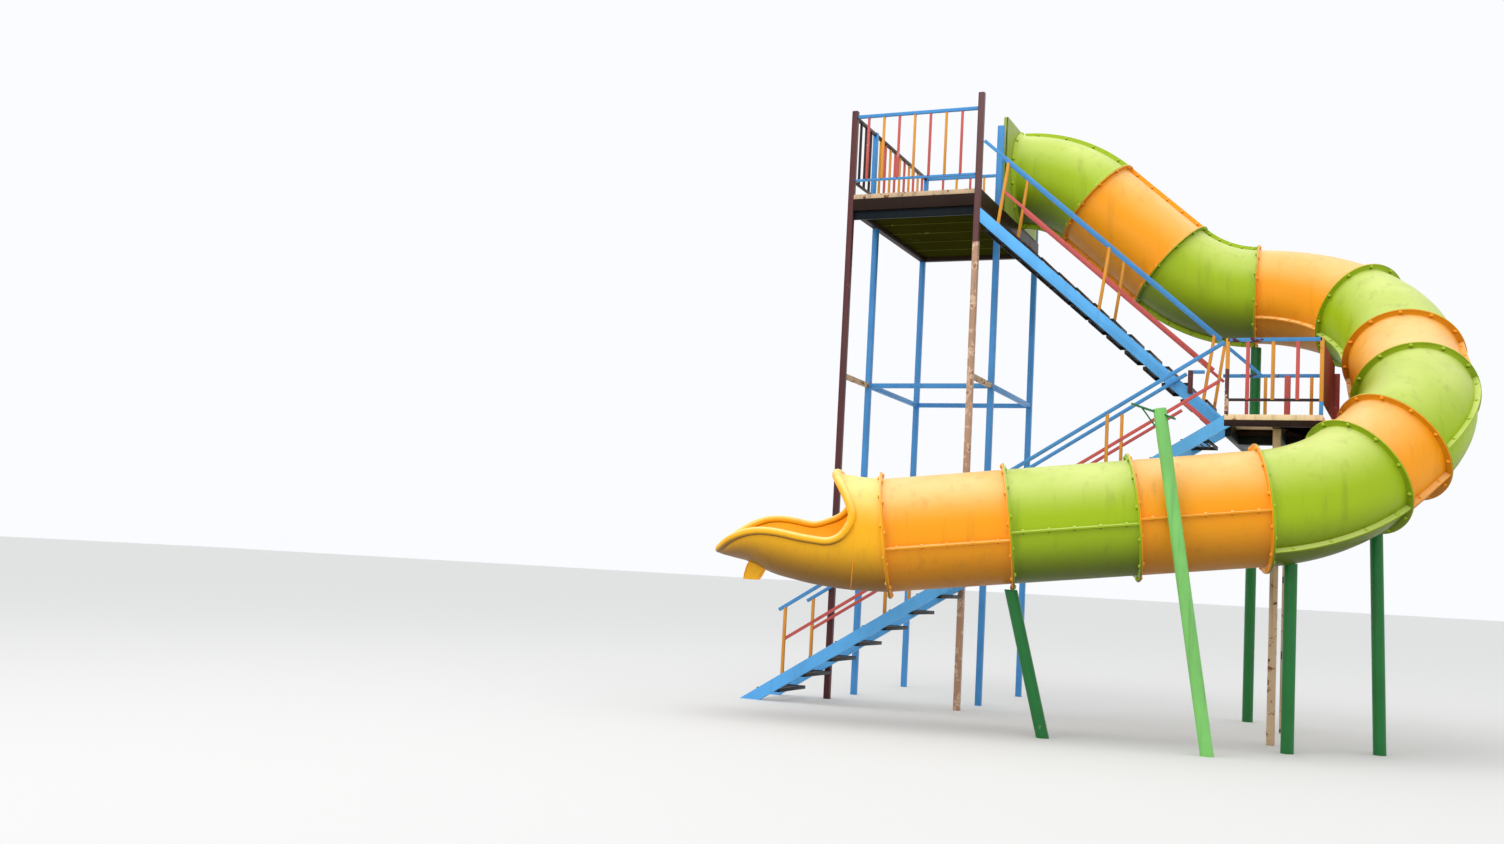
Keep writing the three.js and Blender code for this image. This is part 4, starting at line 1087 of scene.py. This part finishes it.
def bead_path():
    """The loop of the rolled edge: over the collar, along one rim to the tip and back along the other."""
    places = []
    for share in shares(HOOD_STATIONS):
        angle = HOOD_START + (math.pi - 2 * HOOD_START) * share
        reach, width = collar_edge(angle)
        middle = width + BEAD_OUT + (HOOD_OUT - BEAD_OUT) * math.sin(angle)
        places.append(chute_point(reach, middle * math.cos(angle), middle * math.sin(angle)))
    steps = [RIM_START + (1 - RIM_START) * share for share in shares(TROUGH_STATIONS)]
    far, near = ([trough_section(step, side, -BEAD_OUT) for step in steps] for side in (-1, 1))
    places += far + near[-2::-1]
    for _ in range(BEAD_SMOOTHING):
        places = [(places[index - 1] + places[index] * 2 + places[(index + 1) % len(places)]) / 4
                  for index in range(len(places))]
    return places


def make_bead(bm):
    """A round tube along the loop, thicker over the collar. Its turn about itself is shared out so
    that the ends meet."""
    places = bead_path()
    count = len(places)
    tangents = [(places[(index + 1) % count] - places[index - 1]).normalized() for index in range(count)]
    side = tangents[0].orthogonal().normalized()
    sides = []
    for tangent in tangents:
        side = (side - tangent * side.dot(tangent)).normalized()
        sides.append(side)
    side = (side - tangents[0] * side.dot(tangents[0])).normalized()
    twist = math.atan2(side.cross(sides[0]).dot(tangents[0]), side.dot(sides[0]))

    def place_at(lengthwise, around):
        step = round(lengthwise * count)
        index = step % count
        angle = 2 * math.pi * around + twist * step / count
        across = sides[index] * math.cos(angle) + tangents[index].cross(sides[index]) * math.sin(angle)
        up = min(max((places[index].z - chute_start.z) / TUBE_RADIUS, 0), 1)
        return places[index] + across * (BEAD + (HOOD_BEAD - BEAD) * up * up)
    lofted(bm, count, BEAD_SIDES, place_at)


def make_foot(bm):
    """The tapered foot whose top follows the trough's floor."""
    bmesh.ops.create_cube(bm, size=1)
    bmesh.ops.subdivide_edges(bm, edges=bm.edges[:], cuts=FOOT_CUTS, use_grid_fill=True)
    for vert in bm.verts:
        share = 0.5 - vert.co.z
        taper = 1 - FOOT_TAPER * share
        along = FOOT_ALONG + FOOT_LENGTH * vert.co.x * taper + FOOT_LEAN * share
        sideways = FOOT_WIDTH * vert.co.y * taper
        top = chute_point(along, sideways, smooth_height(FLOOR_HEIGHTS, along) + CHUTE_WALL / 2)
        vert.co = top.lerp(Vector((top.x, top.y, FOOT_LOW)), share)


bm = bmesh.new()
make_foot(bm)
ease_edges(bm, FOOT_EASE)
make_collar(bm)
make_trough(bm)
bmesh.ops.recalc_face_normals(bm, faces=bm.faces)
# Faces that face inwards take the inside gold, with its painted light.
for face in bm.faces:
    outward = face.calc_center_median() - chute_start
    outward -= chute_level * outward.dot(chute_level)
    face.material_index = int(face.normal.dot(outward.normalized()) < FACES_INWARD)
make_bead(bm)
bmesh.ops.recalc_face_normals(bm, faces=bm.faces)
for sideways, height in bolt_ring():
    lean = leaned_height(sideways, height) * math.tan(last_fall)
    add_cap(bm, chute_point(FLANGE_THICKNESS + lean, sideways, height), chute_level, CAP_RADIUS)
finish_piece("exit_chute", "shell", bm, "chute_yellow", GEL["gold"], GEL["gold inside"])


# The panel that the tube starts from: a plate with a round hole and a rib on each side

PANEL_THICKNESS = 0.012
PANEL_NEAR = 0.840
PANEL_FAR = 2.186
PANEL_TOP = 5.648
RIB_DEPTH = 0.028
RIB_WIDTH = 0.016
HOLE_RADIUS = 0.436
panel_outer, hole_y, hole_z = TUBE_START


def add_plate_with_hole(bm):
    """The plate's outline bridged to the hole's, then given its thickness."""
    square, hole = (bmesh.ops.create_circle(bm, segments=TUBE_SIDES, radius=1)["verts"] for _ in range(2))
    for vert in square:
        reach = 1 / max(abs(vert.co.x), abs(vert.co.y))
        y = vert.co.x * reach
        z = vert.co.y * reach
        half_width = PANEL_FAR - hole_y if y > 0 else hole_y - PANEL_NEAR
        half_height = PANEL_TOP - hole_z if z > 0 else hole_z - DECK_TOP
        vert.co = place(panel_outer, hole_y + y * half_width, hole_z + z * half_height)
    for vert in hole:
        vert.co = place(panel_outer, hole_y + HOLE_RADIUS * vert.co.x, hole_z + HOLE_RADIUS * vert.co.y)
    faces = bmesh.ops.bridge_loops(bm, edges=linked_to(square + hole, "link_edges"))["faces"]
    bmesh.ops.recalc_face_normals(bm, faces=faces)
    if faces[0].normal.x < 0:
        bmesh.ops.reverse_faces(bm, faces=faces)
    bmesh.ops.solidify(bm, geom=faces, thickness=PANEL_THICKNESS)


bm = bmesh.new()
add_plate_with_hole(bm)
rib_depth = RIB_DEPTH + PANEL_THICKNESS
rib_x = panel_outer - rib_depth / 2
for y in (PANEL_NEAR + RIB_WIDTH / 2, PANEL_FAR - RIB_WIDTH / 2):
    add_bar(bm, place(rib_x, y, DECK_TOP), place(rib_x, y, PANEL_TOP), RIB_WIDTH, rib_depth, STEEL_EASE)
finish_piece("entry_panel", "plate", bm, "panel_green", GEL["panel"])


# The ribbed sheet under the deck

SOFFIT_HIGH = 4.6087
SOFFIT_THICKNESS = 0.003
SOFFIT_EDGE = 0.0281
SOFFIT_RIB_PITCH = 0.38
SOFFIT_RIB_WIDTH = 0.03
SOFFIT_RIBS = 5
RIB_FALL = 0.006


def add_level_bar(bm, y, top, width, depth, ease, material):
    """A bar across the tower with its top at a height."""
    ends = [place(x, y, top - depth / 2) for x in (SOFFIT_EDGE, DECK_WIDTH - SOFFIT_EDGE)]
    add_bar(bm, *ends, width, depth, ease, material)


bm = bmesh.new()
add_level_bar(bm, REAR / 2, SOFFIT_HIGH, REAR - 2 * SOFFIT_EDGE, SOFFIT_THICKNESS, SOFFIT_THICKNESS / 4, 0)
for y in spaced(SOFFIT_RIB_PITCH, SOFFIT_RIB_PITCH, SOFFIT_RIBS):
    add_level_bar(bm, y, SOFFIT_HIGH - SOFFIT_THICKNESS, SOFFIT_RIB_WIDTH, RIB_FALL, RIB_FALL / 3, 1)
finish_piece("deck_soffit", "sheet", bm, "olive_sheet", PAINT["olive"], PAINT["pale olive"])


# Round stands under the tube

STAND_RADIUS = 0.048
STAND_SIDES = 32
MOST_RIM_SIDES = 40


def add_round_bar(bm, low, high, top=None):
    """A round post between two places, cut level at the ground and, where given, at its top."""
    turn = (high - low).to_track_quat("Z", "Y").to_matrix().to_4x4()
    reach = (high - low).length + 2 * STAND_RADIUS
    bmesh.ops.create_cone(bm, cap_ends=True, segments=STAND_SIDES, radius1=STAND_RADIUS,
                          radius2=STAND_RADIUS, depth=reach,
                          matrix=Matrix.Translation((low + high) / 2) @ turn)
    for height, way in [(0, -1)] if top is None else [(0, -1), (top, 1)]:
        bmesh.ops.holes_fill(bm, edges=cut_at(bm, height, way), sides=MOST_RIM_SIDES)


# Each stand's foot, a place in the tube over it and its height
third_joint = tube_runs[3][0](0).to_translation()
stands = {
    "stand_under_3": (Vector((third_joint.x, third_joint.y, 0)), third_joint, 3.4755),
    "stand_under_8": (place(4.694, -0.540, 0), place(4.646, -0.540, 1.700), 1.6848),
    "stand_under_9": (place(4.070, -1.100, 0), place(4.070, -1.100, 1.400), 1.4054),
    "stand_under_11": (place(2.376, -1.680, 0), place(2.094, -1.680, 1.080), 1.0954),
}
for name, (low, high, top) in stands.items():
    bm = bmesh.new()
    add_round_bar(bm, low, high, top)
    finish_piece(name, "post", bm, "green_paint", PAINT["dark green"])

# The leaning stand, the flat bar on its head and the brace below that: how far to the right and
# how high each one starts and ends
LEANING_Y = -1.8644
LEANING_POST = ((3.590, 0), (3.200, 2.430))
HEAD_BAR = ((2.990, 2.513), (3.305, 2.404))
HEAD_BRACE = ((3.066, 2.482), (3.176, 2.332))
post, bar, brace = ([place(x, LEANING_Y, z) for x, z in ends]
                    for ends in (LEANING_POST, HEAD_BAR, HEAD_BRACE))
bm = bmesh.new()
add_round_bar(bm, *post)
add_bar(bm, *bar, width=0.070, depth=0.014, ease=0.004, material=1)
add_bar(bm, *brace, width=0.030, depth=0.010, ease=0.003, material=1)
finish_piece("leaning_stand", "post", bm, "fresh_green_paint", PAINT["fresh green"], PAINT["dark green"])


# Floor, light and camera

FLOOR_SIZE = 400
SKY = "fbfcff"
FLOOR_ROUGHNESS = 0.9
floor_material, nodes, shader = new_material("pale floor")
nodes.feed("e2e2df", shader["Base Color"])
nodes.feed(FLOOR_ROUGHNESS, shader["Roughness"])
bm = bmesh.new()
bmesh.ops.create_grid(bm, x_segments=1, y_segments=1, size=FLOOR_SIZE / 2)
floor = add_mesh("floor", bm, [floor_material])

world = bpy.data.worlds.new("pale studio")
world.use_nodes = True
background = world.node_tree.nodes["Background"].inputs
background["Color"].default_value = tone(SKY)
bpy.context.scene.world = world


def add_area(name, here, target, size, power):
    light = bpy.data.lights.new(name, "AREA")
    light.shape = "DISK"
    light.size = size
    light.energy = power
    lamp = add_object(name, light)
    lamp.location = here
    lamp.rotation_euler = (Vector(target) - Vector(here)).to_track_quat("-Z", "Y").to_euler()


add_area("overhead softbox", (-1.5, -4.0, 13.0), (0, 0, 2.5), size=9.0, power=420)
add_area("front softbox", (-5.0, -13.0, 7.0), (0, 0, 3.0), size=6.0, power=160)
bpy.context.scene.view_settings.view_transform = "Standard"

PHOTO_WIDTH = 1504
SHIFT_PIXELS = 6.286
LENS = 35.856
FILM_WIDTH = 36
CAMERA_PLACE = (4.91255, -13.05694, 1.12999)
CAMERA_YAW = 0.418942
CAMERA_PITCH = 0.0946446
CAMERA_ROLL = 0.0553882
camera_data = bpy.data.cameras.new("camera")
camera_data.sensor_fit = "HORIZONTAL"
camera_data.sensor_width = FILM_WIDTH
camera_data.lens = LENS
camera_data.shift_y = SHIFT_PIXELS / PHOTO_WIDTH
camera_data.clip_end = FLOOR_SIZE
camera = add_object("camera", camera_data)
camera.matrix_world = (Matrix.Translation(place(*CAMERA_PLACE)) @ Matrix.Rotation(CAMERA_YAW, 4, "Z")
                       @ Matrix.Rotation(math.pi / 2 + CAMERA_PITCH, 4, "X")
                       @ Matrix.Rotation(CAMERA_ROLL, 4, "Z"))
bpy.context.scene.camera = camera
